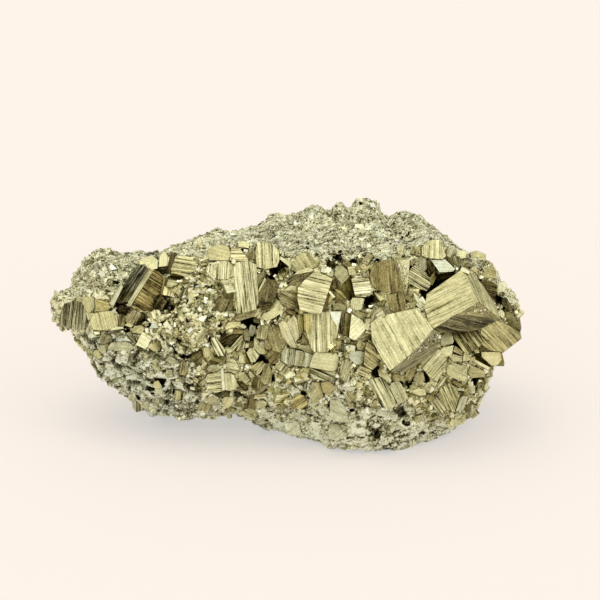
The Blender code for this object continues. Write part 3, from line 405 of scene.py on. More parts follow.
        12.5,22.9)),
    "bluish facet": (-30, 226, -0.8, 0.05, (12.8,18.4, 14,17.4, 15,17.6, 15.9,18.6, 15.8,19.6, 14.8,20.1,
        13,19.9, 12.4,19.4)),
    "brown ribs": (-38, 150, 0.4, 0.5, (15.4,17, 17.2,16.4, 18.7,17.8, 17.6,20.6, 16.4,22.4, 15.8,21)),
    "rose ribs low": (-24, 168, 0.4, 0.4, (13.8,16, 15.4,15, 17,16, 16.6,17, 14.6,17)),
    "grey nest": (20, 148, -0.1, 0.16, (14.6,22.6, 15.6,21.8, 17.2,22.8, 17,23.5, 15.8,23.9)),
    "nest line": (-8, 244, 0, 0.04, (15.7,23.7, 17,23.4, 17.3,23.6, 15.9,24.1)),
    "olive scrap": (70, 166, 0.2, 0.12, (14.2,20.4, 15.4,20.2, 15.6,21.2, 14.6,22.2, 14,21.4)),
    "grey rib low": (76, 160, -0.1, 0.25, (10.8,16, 11.6,13.8, 12.6,14, 12.7,17.8, 12.2,18.6, 11,18)),
    "lower pale": (60, 194, 0.1, 0.06, (5.2,9.6, 6.2,9.9, 7.4,11, 7.2,12, 6.7,13.8, 5.2,13.9, 4.7,12.4)),
    "rust facet": (40, 178, 0.6, 0.1, (7.3,12, 8.6,11, 9.6,13.2, 8.6,14, 6.9,13.8)),
    "lower green": (-20, 202, -0.5, 0.06, (8.6,6.6, 10,6.2, 12.2,5.9, 12.3,7, 11.8,8.6, 10.8,10.2,
        8.8,10.4)),
    "low green two": (40, 196, -0.5, 0.06, (8.6,2.6, 10.4,2.2, 11.6,3.4, 10.6,5.4, 9,5.8, 8.4,4.4)),
    "low green three": (30, 196, -0.5, 0.1, (0,3.6, 2.4,3.2, 3,3.8, 2.6,5.6, 0.4,5.8)),
    "rust nest": (30, 176, 0.7, 0.2, (1,8.8, 3.4,8.4, 4.4,9.6, 3.6,11.2, 2,11.6, 0.9,10.4)),
    "top ribs": (92, 204, 0.1, 0.22, (-5.8,36.8, -4.2,36.3, -1.8,36.8, -1.2,38.4, -1.6,40.2, -3.2,41.4,
        -5.6,41.6, -6.1,39.8)),
    "long ribs": (-83, 198, 0.1, 0.45, (-9.7,27.5, -7.8,27.8, -5.9,28.4, -5.4,29.8, -5.6,33, -5.9,37.2,
        -7.4,37.9, -9.8,37.6, -10.3,36.6, -10.3,31)),
    "dark knob": (80, 124, 0.2, 0.08, (-5.6,29.2, -4.6,27.9, -3.2,28.2, -2.4,29.6, -1.4,32.8, -2,34.2,
        -4,34.2, -5.4,31.6)),
    "knob low": (10, 74, 0.2, 0.06, (-5.4,28.6, -4.4,28, -3,28.6, -2.6,29.6, -5.4,29.8)),
    "knob left": (60, 138, -0.1, 0.1, (-5.9,33.8, -5.4,32.4, -4,34.4, -4.3,36, -5.6,35.4)),
    "knob line": (58, 222, 0.1, 0.04, (-5.7,31.6, -5.3,31.8, -3.9,34.3, -4.2,34.6)),
    "curved pale": (40, 206, 0.2, 0.08, (-4.8,26.8, -4,26.1, -2.4,26.6, -1,27.6, -1.6,28.4, -3.2,28,
        -4.6,27.4)),
    "curved upper": (60, 196, 0.2, 0.08, (-3.2,28, -1.2,27.6, -0.4,28.6, -1.2,30, -2.1,30.8, -2.4,30.2)),
    "grey beam": (15, 140, 0.1, 0.14, (-10.4,26.4, -9.4,26, -6.2,27, -5.8,28.2, -6.6,28.2, -9.2,27.4)),
    "olive ribs": (-24, 138, 0.2, 0.3, (-0.8,29.4, 0.4,28.4, 2.2,28.6, 2.3,31.6, 1.2,32.2, -0.9,31.8,
        -1.4,30.6)),
    "knob": (-10, 212, 0.1, 0.1, (-0.4,32.1, 1.4,31.5, 2.2,32, 2,32.8, 1,33.1)),
    "gold corner": (-30, 130, 0.8, 0.2, (0,27.8, 1.6,26.9, 2.2,27.1, 2,27.7, 0.2,28.4)),
    "brown cube": (60, 128, 0.3, 0.14, (-14.6,28.3, -12.4,28, -10.5,28.3, -10.3,31.6, -12,31.4, -14,30)),
    # pocket
    "olive wall": (-75, 134, 0.4, 0.12, (-3.4,21.8, -2.6,20.2, -1.2,19.8, 0.1,21.6, -0.6,23.4, -1.6,24.8,
        -2.8,25.4, -3.6,24)),
    "wall low": (40, 104, 0.5, 0.1, (-3.8,19.2, -3.2,17.6, -2,17.5, -1,18.8, -1.2,19.9, -3.2,20.4)),
    "brown slab": (70, 122, 0.3, 0.08, (-5.2,14.2, -4.2,13.4, -3,13.8, -2.7,15.6, -3.4,17.6, -4,17.6,
        -4.6,16)),
    "pocket ribs": (82, 150, 0.2, 0.4, (-5.9,22.6, -3.8,22.5, -3.4,25, -4.6,25.4, -5.4,25.2)),
    "pocket beam": (12, 240, 0.6, 0.06, (-11.9,24.4, -9,25.2, -9,25.9, -11.4,25.8, -12,25.1)),
    "beam end": (-5, 238, -0.3, 0.06, (-9.4,24.9, -8.2,24.5, -7.8,24.9, -8.4,25.4, -9.2,25.5)),
    "beam gold": (8, 140, 0.7, 0.12, (-10.6,23.5, -8.6,23.5, -8.3,24.2, -10.2,24.4)),
    "pocket grey": (80, 136, -0.1, 0.14, (-8.2,22.4, -7.2,22, -7.1,23.4, -7.7,24.7, -8.4,24)),
    "pocket blue": (80, 136, -0.9, 0.08, (-7.2,23.2, -6.6,23, -6.1,24, -6,25, -7,25.3, -7.3,24.4)),
    "pocket dark": (30, 66, 0.4, 0.25, (-13,21.2, -10.8,21.1, -8.9,22.9, -9.6,23.3, -12.6,23.6, -13.4,22.8)),
    "pocket blades": (-62, 196, 0, 0.5, (-13.4,19.1, -12.3,19.2, -12,20.2, -13.8,22.7, -15,22.7, -14.6,21.2,
        -14,20)),
    "pocket wedge": (0, 218, 0.1, 0.08, (-11.6,19.6, -10.8,19.9, -10,20.7, -12.2,20.8)),
    "pocket needle": (48, 206, 0.2, 0.45, (-10.4,20.2, -8.5,22.4, -8.6,23.2, -9,23, -10.9,20.8)),
    "pocket tooth": (70, 178, 0, 0.3, (-9.8,20.1, -9.2,20, -8.3,20.6, -8.1,21.8, -8.6,22.4, -9.3,21.4)),
    "pocket shard": (50, 218, 0.2, 0.06, (-8.1,20.6, -7.4,20.9, -7.2,21.8, -8,21.5)),
    "shard brown": (60, 120, 0.6, 0.1, (-7.3,20.8, -6.6,20.9, -6.5,22, -7.1,22)),
    "pocket cube": (86, 214, 0.1, 0.08, (-9.4,17.8, -8,17.6, -7.7,18.4, -7.9,19.5, -9.2,19.7)),
    "cube brown": (-60, 128, 0.5, 0.1, (-8,17.7, -6.9,17.7, -7.4,19.2, -7.9,20)),
    "pocket fan": (-60, 216, 0.1, 0.45, (-6.9,17.8, -6.1,17.9, -5.3,19.2, -6.4,20.8, -7.2,20.6, -7.8,19.8)),
    "pocket kite": (-48, 214, 0.2, 0.12, (-6.4,20.8, -5.2,19.5, -4,19.5, -4.1,20.2, -6.1,23.1, -6.3,22.6)),
    "pocket gem": (30, 196, -0.5, 0.1, (-5.4,21.6, -4.2,20.4, -4,21.6, -4.6,22.2)),
    "pocket brown": (-50, 150, 0.6, 0.08, (-4.2,20.6, -3.1,20.3, -2.8,20.8, -3.6,22.4, -4.2,22.2)),
    "pocket leaf": (-55, 214, 0, 0.1, (-7.4,15.8, -7.1,15, -6.4,14.3, -6,14.5, -6.2,15.2, -7.1,16.2)),
    "pocket steps": (45, 150, 0.3, 0.4, (-6.9,16.2, -6,16.1, -4.4,17.8, -4.6,18.1, -5.6,17.8, -6.6,17.2)),
    "steps light": (48, 214, 0.1, 0.16, (-5.8,15.2, -5.2,15.6, -4,17.2, -4.2,17.7, -5.8,16.3)),
    "pocket low pale": (30, 200, 0.1, 0.14, (-9.6,15.4, -8.8,14.2, -7.8,13.4, -7.2,14.4, -8.2,15.8,
        -9.2,16)),
    "pocket low dark": (-40, 94, 0.5, 0.1, (-9.5,13.8, -8.2,12.4, -7.2,12.6, -7.4,13.3, -8.6,13.9)),
    "pocket shade": (50, 126, 0.1, 0.08, (-14,18.2, -12.8,17.1, -11.8,18.6, -11.9,19.6, -12.6,19.3)),
    "twin left": (8, 186, 0.1, 0.5, (-15.7,12.4, -13.9,11.7, -12.5,12.3, -12.8,16.2, -15.6,15.4)),
    "twin ridge": (-85, 228, -0.4, 0.04, (-12.6,12.2, -12.1,12.4, -12.4,16.6, -12.9,16.8, -13,16.2)),
    "twin right": (-85, 214, 0.2, 0.16, (-12.1,12.4, -11,12.2, -10,12.6, -9.6,13.4, -10.3,15.2, -11,15.7,
        -12.3,15.6)),
    "twin cap": (20, 182, -0.2, 0.14, (-15.8,16.4, -14.6,15.9, -13.4,16.2, -12.9,16.8, -13.8,17.3,
        -15,17.4)),
    "twin cap right": (-6, 196, 0.1, 0.3, (-12.2,16.2, -10.2,15.8, -9.2,16.3, -9.8,17.8, -10.6,18.8,
        -11.8,18.4)),
    "foot tooth": (60, 226, 0.2, 0.1, (-12.9,10.4, -12,8.9, -11.6,8.6, -10.7,9.4, -10.3,10.2, -10.6,10.8,
        -12,10.9)),
    "foot tooth low": (70, 214, 0, 0.14, (-12,8.2, -10.4,7.6, -10.2,8.4, -11.2,8.7)),
    "foot cube": (3, 208, 0.2, 0.3, (-6.3,10.6, -3.8,10.7, -4.1,12, -5,12.4, -6.2,11.4)),
    "foot cube low": (-5, 206, 0.1, 0.1, (-6.2,9.2, -5.6,8.6, -4.4,8.8, -3.7,9.6, -4.4,10.2, -6.1,10.2)),
    "foot brown": (80, 108, 0.6, 0.08, (-8.2,8.8, -6.4,8.6, -6.2,9.6, -6.4,11.2, -7.2,11.2, -7.8,9.8)),
    "foot slab": (-28, 186, 0.2, 0.4, (-9.4,7.7, -6.2,6.3, -5.8,7.4, -6.4,8.4, -7.2,8.8, -8.2,8.4)),
    "foot stub": (0, 190, -0.2, 0.08, (-15.6,9.6, -14,9.2, -13.2,9.8, -13.2,10.6, -14.4,11.4, -15.6,11)),
    "foot shade": (-10, 96, 0, 0.08, (-14.2,11.4, -13,11.2, -11.2,11.1, -11.3,12, -12.6,12.2, -13.8,11.7)),
    # left part
    "grey fan": (84, 126, -0.3, 0.34, (-45.2,25.6, -43,24.5, -41.2,24.1, -40,24.3, -39.5,26.2, -39.9,28,
        -40.6,29.8, -41.4,30.2, -44.2,29.4, -44.9,27.8)),
    "pale wing": (-75, 196, 0.2, 0.1, (-39.8,28, -39.2,27.6, -38.2,28.4, -38.2,30.6, -39.8,30.8, -40.6,30)),
    "wing low": (-75, 178, 0, 0.16, (-39.4,26.2, -38.6,26.2, -38.2,27.6, -39.8,27.8)),
    "cream block": (-75, 202, 0.4, 0.12, (-39,25.8, -38.6,24.3, -36.4,24.2, -34.4,24.4, -33.4,24.8, -33.5,27,
        -34.8,28, -36.6,27.9, -38.4,27.4)),
    "gold gable": (-20, 150, 0.7, 0.12, (-38,27.9, -35.4,28.1, -34.9,28.8, -35.6,30, -37.8,30.1)),
    "gold prism": (-32, 122, 1, 0.42, (-30.4,29.2, -29.4,28.2, -26,27.8, -24.2,28.4, -24.4,34.9, -25.2,35.8,
        -26.4,36.1)),
    "prism hollow": (60, 40, 0.5, 0.1, (-26.1,28.3, -24.4,28.3, -23.6,29.9, -25.2,31.2, -26.2,30.2)),
    "bright edge": (56, 206, 0.1, 0.16, (-31.4,29.8, -30.7,29.2, -26.3,36.1, -27.4,36.2)),
    "prism dark side": (56, 104, -0.6, 0.5, (-34.1,30.2, -33,29.6, -31.5,29.9, -27.4,36.3, -28.2,37.2,
        -29.4,37.1, -32.6,32.6)),
    "prism white": (60, 228, -0.1, 0.08, (-34.9,29.5, -34.2,29, -32.3,32.8, -32.6,33.4, -33.9,31.4)),
    "hood": (30, 196, 0.1, 0.08, (-29.2,37.4, -26.6,36.2, -25.5,36.5, -25.5,38.2, -26.6,39, -28.6,38.4)),
    "bright box": (85, 236, 0.2, 0.05, (-25.3,36.8, -23.4,37, -23.1,38.6, -23.8,39.5, -24.3,39.6, -25,39)),
    "box shade": (0, 36, 0.2, 0.05, (-25.5,36.2, -24.3,35.4, -23.6,35.6, -23.5,36.9, -25.1,36.8)),
    "olive strip": (78, 116, 0.2, 0.14, (-23.6,35.4, -22.9,35.8, -22.1,39.6, -22.8,39.6, -23.4,37.4)),
    "strip low": (80, 136, 0.3, 0.14, (-24.9,31, -24.2,31.2, -23.4,34.7, -24.2,34.8)),
    "level ribs": (-8, 196, 0.3, 0.3, (-22.6,35.6, -20.2,34.9, -18.4,35.8, -18,37.2, -18.6,38.6, -20.8,39.2,
        -22,38.4, -22.9,36.2)),
    "level shade": (-5, 122, 0.6, 0.2, (-23.2,34.7, -21.2,34.1, -20,34.8, -22.6,35.5)),
    "level stub": (-10, 182, 0.2, 0.16, (-23.7,32.9, -22.6,32.8, -21.4,33.4, -21.6,34, -23.3,34.3)),
    "smooth patch": (-15, 188, 0.3, 0.06, (-15.2,38.1, -11.4,38.1, -10.9,39.4, -11.3,40.8, -13.6,41.2,
        -15.6,40)),
    "top step": (0, 172, 0.3, 0.45, (-11,38.7, -9.8,38, -7.4,37.9, -7.8,38.8, -9.4,40.6, -10.8,40.4)),
    "top chip": (0, 222, 0.2, 0.08, (-9.4,40.8, -7.4,40.5, -7.3,41.4, -8.4,41.9, -9.4,41.6)),
    "step shade": (50, 140, 0.3, 0.1, (-7.5,37.9, -6.2,38.4, -6.2,40, -7.2,40.4, -7.8,39)),
    "fluted step": (88, 216, 0.1, 0.4, (-15.2,36, -13.8,34.3, -11.4,34.4, -10.1,35.2, -10.1,36.8, -11.4,37.8,
        -14.8,37.2)),
    "slim blade": (62, 196, 0, 0.3, (-31.9,26, -30.9,25.2, -30.2,25.4, -28.8,27.4, -29.4,28, -30.4,28.3)),
    "slim blade two": (62, 152, 0.2, 0.2, (-30.1,25.5, -29.2,25.3, -27.9,27, -28.4,27.5, -28.9,27.3)),
    "blade foot left": (-20, 236, 0.5, 0.06, (-32.1,25.2, -30.8,24.7, -30.2,25.3, -31.4,25.7)),
    "olive cube": (80, 128, 0.6, 0.12, (-33.2,25.2, -32.2,24.9, -31.8,26.2, -32.4,27.4, -33.2,27.4)),
    "prism hole": (0, 34, 0.4, 0.05, (-33.2,27.7, -31.8,27.3, -30.8,28.6, -32.4,29.2, -33.4,29)),
    "olive shell": (30, 180, 0.4, 0.08, (-30.6,23.8, -28.8,23.5, -27.9,24.5, -28.8,25.2, -30.2,24.9)),
    "blue gable": (0, 216, -1, 0.04, (-27.2,24.5, -25.3,24.7, -25.9,25.8, -26.4,25.8)),
    "white square": (-30, 240, 0.1, 0.06, (-29.8,21.3, -28,20.5, -27.4,21, -26.6,22.9, -28.5,23.9)),
    "cream stub": (30, 222, 0.4, 0.08, (-27.5,20.9, -26.2,20, -25.1,20.2, -24.7,20.9, -25.4,22.2,
        -26.4,22.1)),
    "grey wedge": (-50, 146, -0.3, 0.25, (-31.9,23.5, -31.4,22.6, -30,21.5, -29.8,21.9, -30.9,24)),
    "dark slit": (15, 92, -0.8, 0.2, (-35.8,23.4, -34.2,23.4, -32.6,24.4, -34,24.6)),
    "slit line": (18, 240, 0, 0.04, (-35,24.1, -32.2,24.5, -32.4,24.9, -34,24.8)),
    "grey slab": (60, 138, -0.1, 0.08, (-36.8,21.3, -34.6,21.9, -34.9,23, -35.9,23.9, -36.5,24.2, -37,22.6)),
    "pale gable": (-60, 208, -0.3, 0.06, (-37.6,20.8, -36.6,19.5, -35.9,19.8, -35.3,21.5, -36.6,21.2)),
    "smooth slab": (-5, 182, -0.3, 0.06, (-35.4,20.7, -34,20.1, -30.6,20.3, -30.1,21, -31.4,21.8,
        -34.6,21.8)),
    "yellow lump": (70, 206, 0.5, 0.1, (-38.4,19.4, -37.2,18.4, -36.4,18.9, -37.4,20.3, -38.1,20.2)),
    "light bar": (-40, 212, 0.1, 0.1, (-27,17.4, -25.4,16.1, -24.9,16.4, -26.2,17.8)),
    "massive facet": (-40, 178, -0.4, 0.06, (-24,18.2, -22.2,17.1, -21.9,18.5, -23.2,19.1)),
    "massive facet two": (10, 172, -0.2, 0.06, (-24,15.1, -22.5,14.9, -22.6,16.3, -23.7,16.4)),
    "mound blade": (55, 178, 0, 0.16, (-17.6,21.4, -16.6,22.2, -15.4,24.4, -16.6,24.9, -17.9,22.8)),
    "mound shade": (40, 96, 0.4, 0.1, (-19,18.2, -17.2,17.4, -16.4,18.6, -16.4,20.2, -17.6,20.4,
        -18.6,19.4)),
    "mound ribs": (80, 196, 0.1, 0.4, (-21.2,15.4, -19.8,15.2, -19.4,17.6, -20.9,18)),
    "lower lump": (60, 196, 0.4, 0.08, (-26.6,12.9, -25.4,12.4, -24.8,13.2, -25.4,14.2, -26.2,14)),
    "rose ribs": (80, 178, 0.2, 0.3, (-22.6,10.4, -20.4,10.2, -20,11.8, -22,12.2)),
}
# How far the face leans to the right and up, where dice don't decide.
LEANS = {
    "great slab": (-0.1, 0.32), "great cube": (-0.35, 0.3), "right wing": (0.25, -0.1),
    "fluted cube": (0.05, 0.1), "ribbed wall": (0, 0.05), "long ribs": (0.1, 0.1),
    "tall olive prism": (-0.25, -0.15), "gold prism": (0.4, -0.15), "grey fan": (-0.45, -0.1),
    "pale lip": (0.15, -0.22), "pale shelf": (0, 0.3), "grey shelf": (-0.15, 0.15),
    "olive tablet": (0.2, 0.1), "twin left": (-0.1, 0.05), "top ribs": (0, 0.45),
    "smooth patch": (0, 0.75), "level ribs": (0.05, 0.45), "fluted step": (0, 0.3),
    "cream block": (-0.15, 0.05), "ribbed left": (-0.15, 0.1), "lower cube": (-0.15, -0.05),
    "white ribbed": (0.1, 0.3), "top step": (0, 0.6), "top chip": (0, 0.7), "shoulder top": (0.3, 0.7),
    "ribbed crown": (0, 0.45), "rim pale": (0.1, 0.5), "green facet": (0.1, 0.5), "hood": (-0.1, 0.45),
    "bright box": (0.1, 0.35), "white square": (0, 0.25),
}
USUAL_LEAN = 0.28
# The face it is joined to, the two ends of their edge, and the drop in depth for each millimetre.
JOINED = {
    "slab side": ("great slab", (20.6,16.2, 29.2,24.4), 1.3),
    "cube right": ("great cube", (38.2,29.8, 34.8,36), 0.9),
    "broken corner": ("great cube", (34,27.5, 38.2,29.8), 0.45),
    "cube bottom": ("great cube", (29.3,24.5, 33.9,27.3), 1.3),
    "cube bottom left": ("great cube", (29.3,24.5, 33.9,27.3), 1.2),
    "cube ridge": ("great cube", (34.8,36, 33,34.8), 0),
    "lip side": ("pale lip", (43,18.4, 42.7,19.8), 1.6),
    "dark lip": ("pale lip", (38.9,19.9, 40.9,17.2), 0.9),
    "brown block side": ("brown block", (37,20.2, 35.4,23.8), 0.5),
    "step side": ("bright step", (33.1,20.2, 33.3,21.2), 0.9),
    "cube splinters": ("lower cube", (32,8.5, 30.3,11.2), 0.5),
    "lower cube side": ("lower cube", (33.5,8, 34.6,11.4), 1.1),
    "ribbed right": ("ribbed left", (21.9,9.4, 20.8,12.2), 0.5),
    "olive shade": ("tall olive prism", (21.2,32, 21.2,37), 0.35),
    "tile cap": ("striped tile", (25.9,37.2, 27.4,35.8), 0.7),
    "tile right": ("striped tile", (28.6,32.9, 28.6,34.6), 1),
    "dark underside": ("green facet", (30.4,35.7, 33.2,35.9), 1.2),
    "fluted side": ("fluted cube", (7.1,27.8, 9.2,34.4), 1.5),
    "prism lip": ("leaning prism", (1.6,35.2, 4.6,36.2), 0.4),
    "upper ribs": ("upper face", (6.1,36.9, 4.2,39.8), 0.5),
    "grey block side": ("grey block", (11.2,33.4, 12.5,34.8), 0.7),
    "block left": ("grey block", (10.4,34.2, 11.2,33.4), 0.6),
    "middle blade": ("left blade", (2.2,20.7, 0.2,25.7), 0.4),
    "right blade": ("middle blade", (2.6,22.8, 2.3,26.2), 0.4),
    "wall cap": ("ribbed wall", (10.6,25.8, 11,27.9), 0),
    "wall gold": ("ribbed wall", (4.9,20.9, 4.5,27.8), 0.3),
    "shelf shade": ("grey shelf", (2.6,17.2, 2.8,19.8), 0),
    "pale shelf": ("grey shelf", (4.6,17.2, 5.3,19.2), 0.3),
    "stub light": ("dark stub", (11.2,23.8, 11.8,27.6), 0.6),
    "curved upper": ("curved pale", (-3.2,28, -1.2,27.6), 0.3),
    "knob low": ("dark knob", (-5.4,29.8, -2.6,29.6), 0.5),
    "knob line": ("dark knob", (-5.4,31.6, -4,34.2), 0.2),
    "cube brown": ("pocket cube", (-8,17.7, -7.9,19.5), 0.9),
    "twin ridge": ("twin left", (-12.6,12.3, -12.8,16.2), -0.2),
    "twin right": ("twin left", (-12.2,12.3, -12.4,16.2), 0.4),
    "foot brown": ("foot cube", (-6.3,10.6, -6.2,11.4), 0.7),
    "bright edge": ("gold prism", (-30.4,29.2, -26.4,36.1), 0.2),
    "prism dark side": ("gold prism", (-31.4,29.8, -27.4,36.2), 0.9),
    "prism white": ("gold prism", (-33,31, -31.4,33.6), 1),
    "gold gable": ("cream block", (-38.4,27.4, -34.8,28), 0.5),
    "level shade": ("level ribs", (-22.6,35.6, -20.2,34.9), 1.1),
    "cream stub": ("white square", (-28,20.5, -26.6,22.9), 0.6),
    "slim blade two": ("slim blade", (-30.2,25.4, -28.8,27.4), 0.7),
}
# How far a face stands out of the lump, where it isn't the usual.
STANDS = {
    "great slab": 2.8, "great cube": 3.4, "right wing": 2.6, "ribbed wall": 2, "fluted cube": 3.2,
    "long ribs": 2.4, "tall olive prism": 2, "gold prism": 2, "grey shelf": 2, "olive wall": 0.3,
    "wall low": -0.3, "dark hollow": -0.8, "dark notch": -0.8, "pocket dark": -0.8, "prism hollow": 1.5,
    "prism hole": -0.5, "box shade": -0.4, "knob low": 0.2, "mound shade": -0.4, "tile shade": -0.2,
    "block shade": 0, "pocket low dark": -0.5, "foot shade": -0.4, "pale lip": 2.6, "rough strip": 1.6,
    "grey fan": 0.5, "brown cube": -0.3, "brown slab": 0.2, "box line": 1.2, "nest line": 1,
    "lip edge": 1, "cream rim": 1, "pocket needle": 1.2, "smooth patch": 0.2, "smooth slab": 0.4,
}
# Faces that lie on another one, and how far they stand out of it.
RAISED = {
    "cube ridge": 0.15, "wall cap": 0.12, "wall gold": 0.12, "shelf shade": 0.12, "knob line": 0.15,
    "prism lip": 0.15, "twin ridge": 0.2, "olive shade": 0.25, "dark notch": 3.4, "knob low": 0.5,
    "gold box": 2.2, "box line": 2.6, "cube brown": 0.8, "prism hollow": 0.9, "dark lip": 0.1,
    "lip side": 0.1, "right bright": 2, "cube bottom left": -0.6, "twin right": 0.05,
}
STAND_SHARE, STAND_LEAST = 0.14, 0.25  # usual stand, from the outline's reach
CORNER_CLEAR = 0.10
MOST_LIFT = 2.2
ROOTED, LEAST_ROOT, ROOT_SHARE = 1.8, 2.6, 0.55
print(len(FACES), "faces show")


# %% Turn and depth of the faces that show
def seen_depth(x, seen):
    """Depth towards the viewer of the lump's surface at a seen place."""
    hit = lump_tree.ray_cast(seen_place(x, seen, FAR), -TO_VIEWER)[0]
    if hit is None:
        hit = lump_tree.find_nearest(seen_place(x, seen))[0]
    return hit.dot(TO_VIEWER)


def corners_of(name):
    """Corners of a face's outline as pairs of x and seen height."""
    numbers = FACES[name][4]
    return list(zip(numbers[::2], numbers[1::2]))


def edges_of(corners):
    """Pairs of neighbouring corners round an outline."""
    return zip(corners, corners[1:] + corners[:1])


def middle_of(corners):
    """Mean of some seen places."""
    return tuple(sum(values) / len(corners) for values in zip(*corners))


class Plane:
    """A face's plane: the depth of each seen place on it."""

    def __init__(self, anchor, depth, slope):
        self.anchor, self.depth, self.slope = anchor, depth, slope

    def at(self, x, seen):
        """Depth at a seen place."""
        return (self.depth + self.slope[0] * (x - self.anchor[0])
                + self.slope[1] * (seen - self.anchor[1]))

    def outward(self):
        """Normal of the face, towards the viewer."""
        return (TO_VIEWER - VIEW_RIGHT * self.slope[0] - VIEW_UP * self.slope[1]).normalized()


def leaning_plane(name):
    """Plane of a face that leans by itself on the lump."""
    dice = random.Random(name)
    lean = LEANS.get(name, (dice.uniform(-USUAL_LEAN, USUAL_LEAN), dice.uniform(-USUAL_LEAN, USUAL_LEAN)))
    corners = corners_of(name)
    middle = middle_of(corners)
    plane = Plane(middle, 0.0, (-lean[0], -lean[1]))
    reach = max(math.dist(a, b) for a in corners for b in corners)
    stand = STANDS.get(name, STAND_LEAST + STAND_SHARE * reach)
    plane.depth = seen_depth(*middle) + stand
    sunk = max(seen_depth(*corner) + CORNER_CLEAR - plane.at(*corner) for corner in corners)
    plane.depth += min(max(sunk, 0.0), MOST_LIFT) if stand > 0.0 else 0.0
    return plane


def joined_plane(name, planes):
    """Plane of a face that is joined to another along an edge."""
    other, edge, drop = JOINED[name]
    ends = (edge[:2], edge[2:])
    depths = [planes[other].at(*end) for end in ends]
    middle = middle_of(corners_of(name))
    along = np.subtract(ends[1], ends[0])
    away = np.subtract(middle, ends[0])
    away = away - along * (away @ along) / (along @ along)
    distance = float(np.linalg.norm(away))
    rows = np.array((along, away / distance))
    slope = np.linalg.solve(rows, (depths[1] - depths[0], -drop))
    return Plane(ends[0], depths[0], tuple(slope))


planes = {}
for name in FACES:
    planes[name] = joined_plane(name, planes) if name in JOINED else leaning_plane(name)
    planes[name].depth += RAISED.get(name, 0.0)
print("slope of the great cube's right face:", [round(float(v), 2) for v in planes["cube right"].slope])

# %% [markdown]
# No tidy faces are known at the back and the ends, so crystals grow there by rule: seeded dice
# pick places, sizes and leans, and a box that would stick out of the outline is thrown again.

# %% Crystals of the back and the ends
SEED = 11
HIDDEN_CRYSTALS = 74
HIDDEN_SIZES = (3.0, 7.5)
HIDDEN_SHAPE = ((0.6, 1.0), (0.7, 1.1))
HIDDEN_LEAN = 0.6
HIDDEN_REACH = 42.0
HIDDEN_ROUND = (-25.0, 112.0)
HIDDEN_AXIS = 17.0
HIDDEN_LOWEST = 4.0
HIDDEN_SUNK = 0.16
HIDDEN_FACING = -0.1


def stays_hidden(middle, edges):
    """Whether a box keeps inside the outline that the display side shows."""
    for shares in product((-0.5, 0.5), repeat=3):
        place = middle + sum((edge * share for edge, share in zip(edges, shares)), Vector())
        seen = place.dot(VIEW_UP) - SEEN_ZERO
        if seen > along_table(SKYLINE, place.x)[0] or seen < along_table(LOWER_EDGE, place.x)[0]:
            return False
    return True


def hidden_boxes():
    """Middles and edges of the crystals of the back and the ends."""
    dice = random.Random(SEED)
    boxes = []
    while len(boxes) < HIDDEN_CRYSTALS:
        x = dice.uniform(-HIDDEN_REACH, HIDDEN_REACH)
        angle = math.radians(dice.uniform(*HIDDEN_ROUND))
        away = Vector((0.0, math.cos(angle), math.sin(angle)))
        hit, normal = lump_tree.ray_cast(Vector((x, 0.0, HIDDEN_AXIS)) + away * FAR, -away)[:2]
        smallest, largest = HIDDEN_SIZES
        size = smallest + (largest - smallest) * dice.random() ** 2
        turn = Matrix.Rotation(dice.uniform(-HIDDEN_LEAN, HIDDEN_LEAN), 3, "X")
        turn = turn @ Matrix.Rotation(dice.uniform(-HIDDEN_LEAN, HIDDEN_LEAN), 3, "Y")
        turn = turn @ Matrix.Rotation(dice.uniform(0.0, math.pi), 3, "Z")
        sides = [size] + [size * dice.uniform(*share) for share in HIDDEN_SHAPE]
        if hit is None or hit.z < HIDDEN_LOWEST or normal.dot(TO_VIEWER) > HIDDEN_FACING:
            continue
        frame_turn = normal.to_track_quat("Z", "Y").to_matrix() @ turn
        edges = [frame_turn.col[axis] * sides[axis] for axis in range(3)]
        middle = hit - normal * (HIDDEN_SUNK * sides[2])
        if stays_hidden(middle, edges):
            boxes.append((middle, *edges))
    return boxes


hidden = hidden_boxes()
print(len(hidden), "crystals at the back and the ends")


# %% [markdown]
# ## Grooved crystals
#
# The grooves of pyrite are real steps: growth swings between two kinds of face, so a cube's face is
# a staircase of narrow level treads and steep risers. The grooves on neighbouring faces of a cube
# run at right angles to each other. Every face is therefore a closed block whose outline is a
# staircase drawn along the grooves. A crystal of the back is three such blocks that share its
# middle; a face of the display side is one block, cut along the edges of the face's outline.

# %% Block with a staircase on two opposite sides
def placed(name, mesh):
    """Object of a mesh, put into the scene."""
    thing = bpy.data.objects.new(name, mesh)
    bpy.context.scene.collection.objects.link(thing)
    print(name, sum(len(p.vertices) - 2 for p in mesh.polygons), "triangles")
    return thing


def give_vectors(mesh, name, values):
    """Store one vector for each point."""
    layer = mesh.attributes.new(name, "FLOAT_VECTOR", "POINT")
    layer.data.foreach_set("vector", np.array(values, np.float32).ravel())


class Shape:
    """Points and faces of many closed blocks, and what the finish needs to know at each point."""

    def __init__(self):
        self.points, self.faces, self.lines, self.tones = [], [], [], []

    def add(self, points, faces, lines, tone):
        """Add a block; lines holds one vector for each point, tone is brightness, warmth, lines."""
        start = len(self.points)
        self.points.extend(points)
        self.faces.extend(tuple(start + i for i in face) for face in faces)
        self.lines.extend(lines)
        self.tones.extend([tone] * len(points))

    def piece(self, name):
        """The finished piece in metres over its middle, with nothing under the table."""
        mesh = bpy.data.meshes.new(name)
        points = np.array(self.points) + np.array(CENTRE)
        points[:, 2] = np.maximum(points[:, 2], 0.0)
        mesh.from_pydata((points * MM).tolist(), [], self.faces)
        give_vectors(mesh, "lines", self.lines)
        give_vectors(mesh, "tone", self.tones)
        return placed(name, mesh)


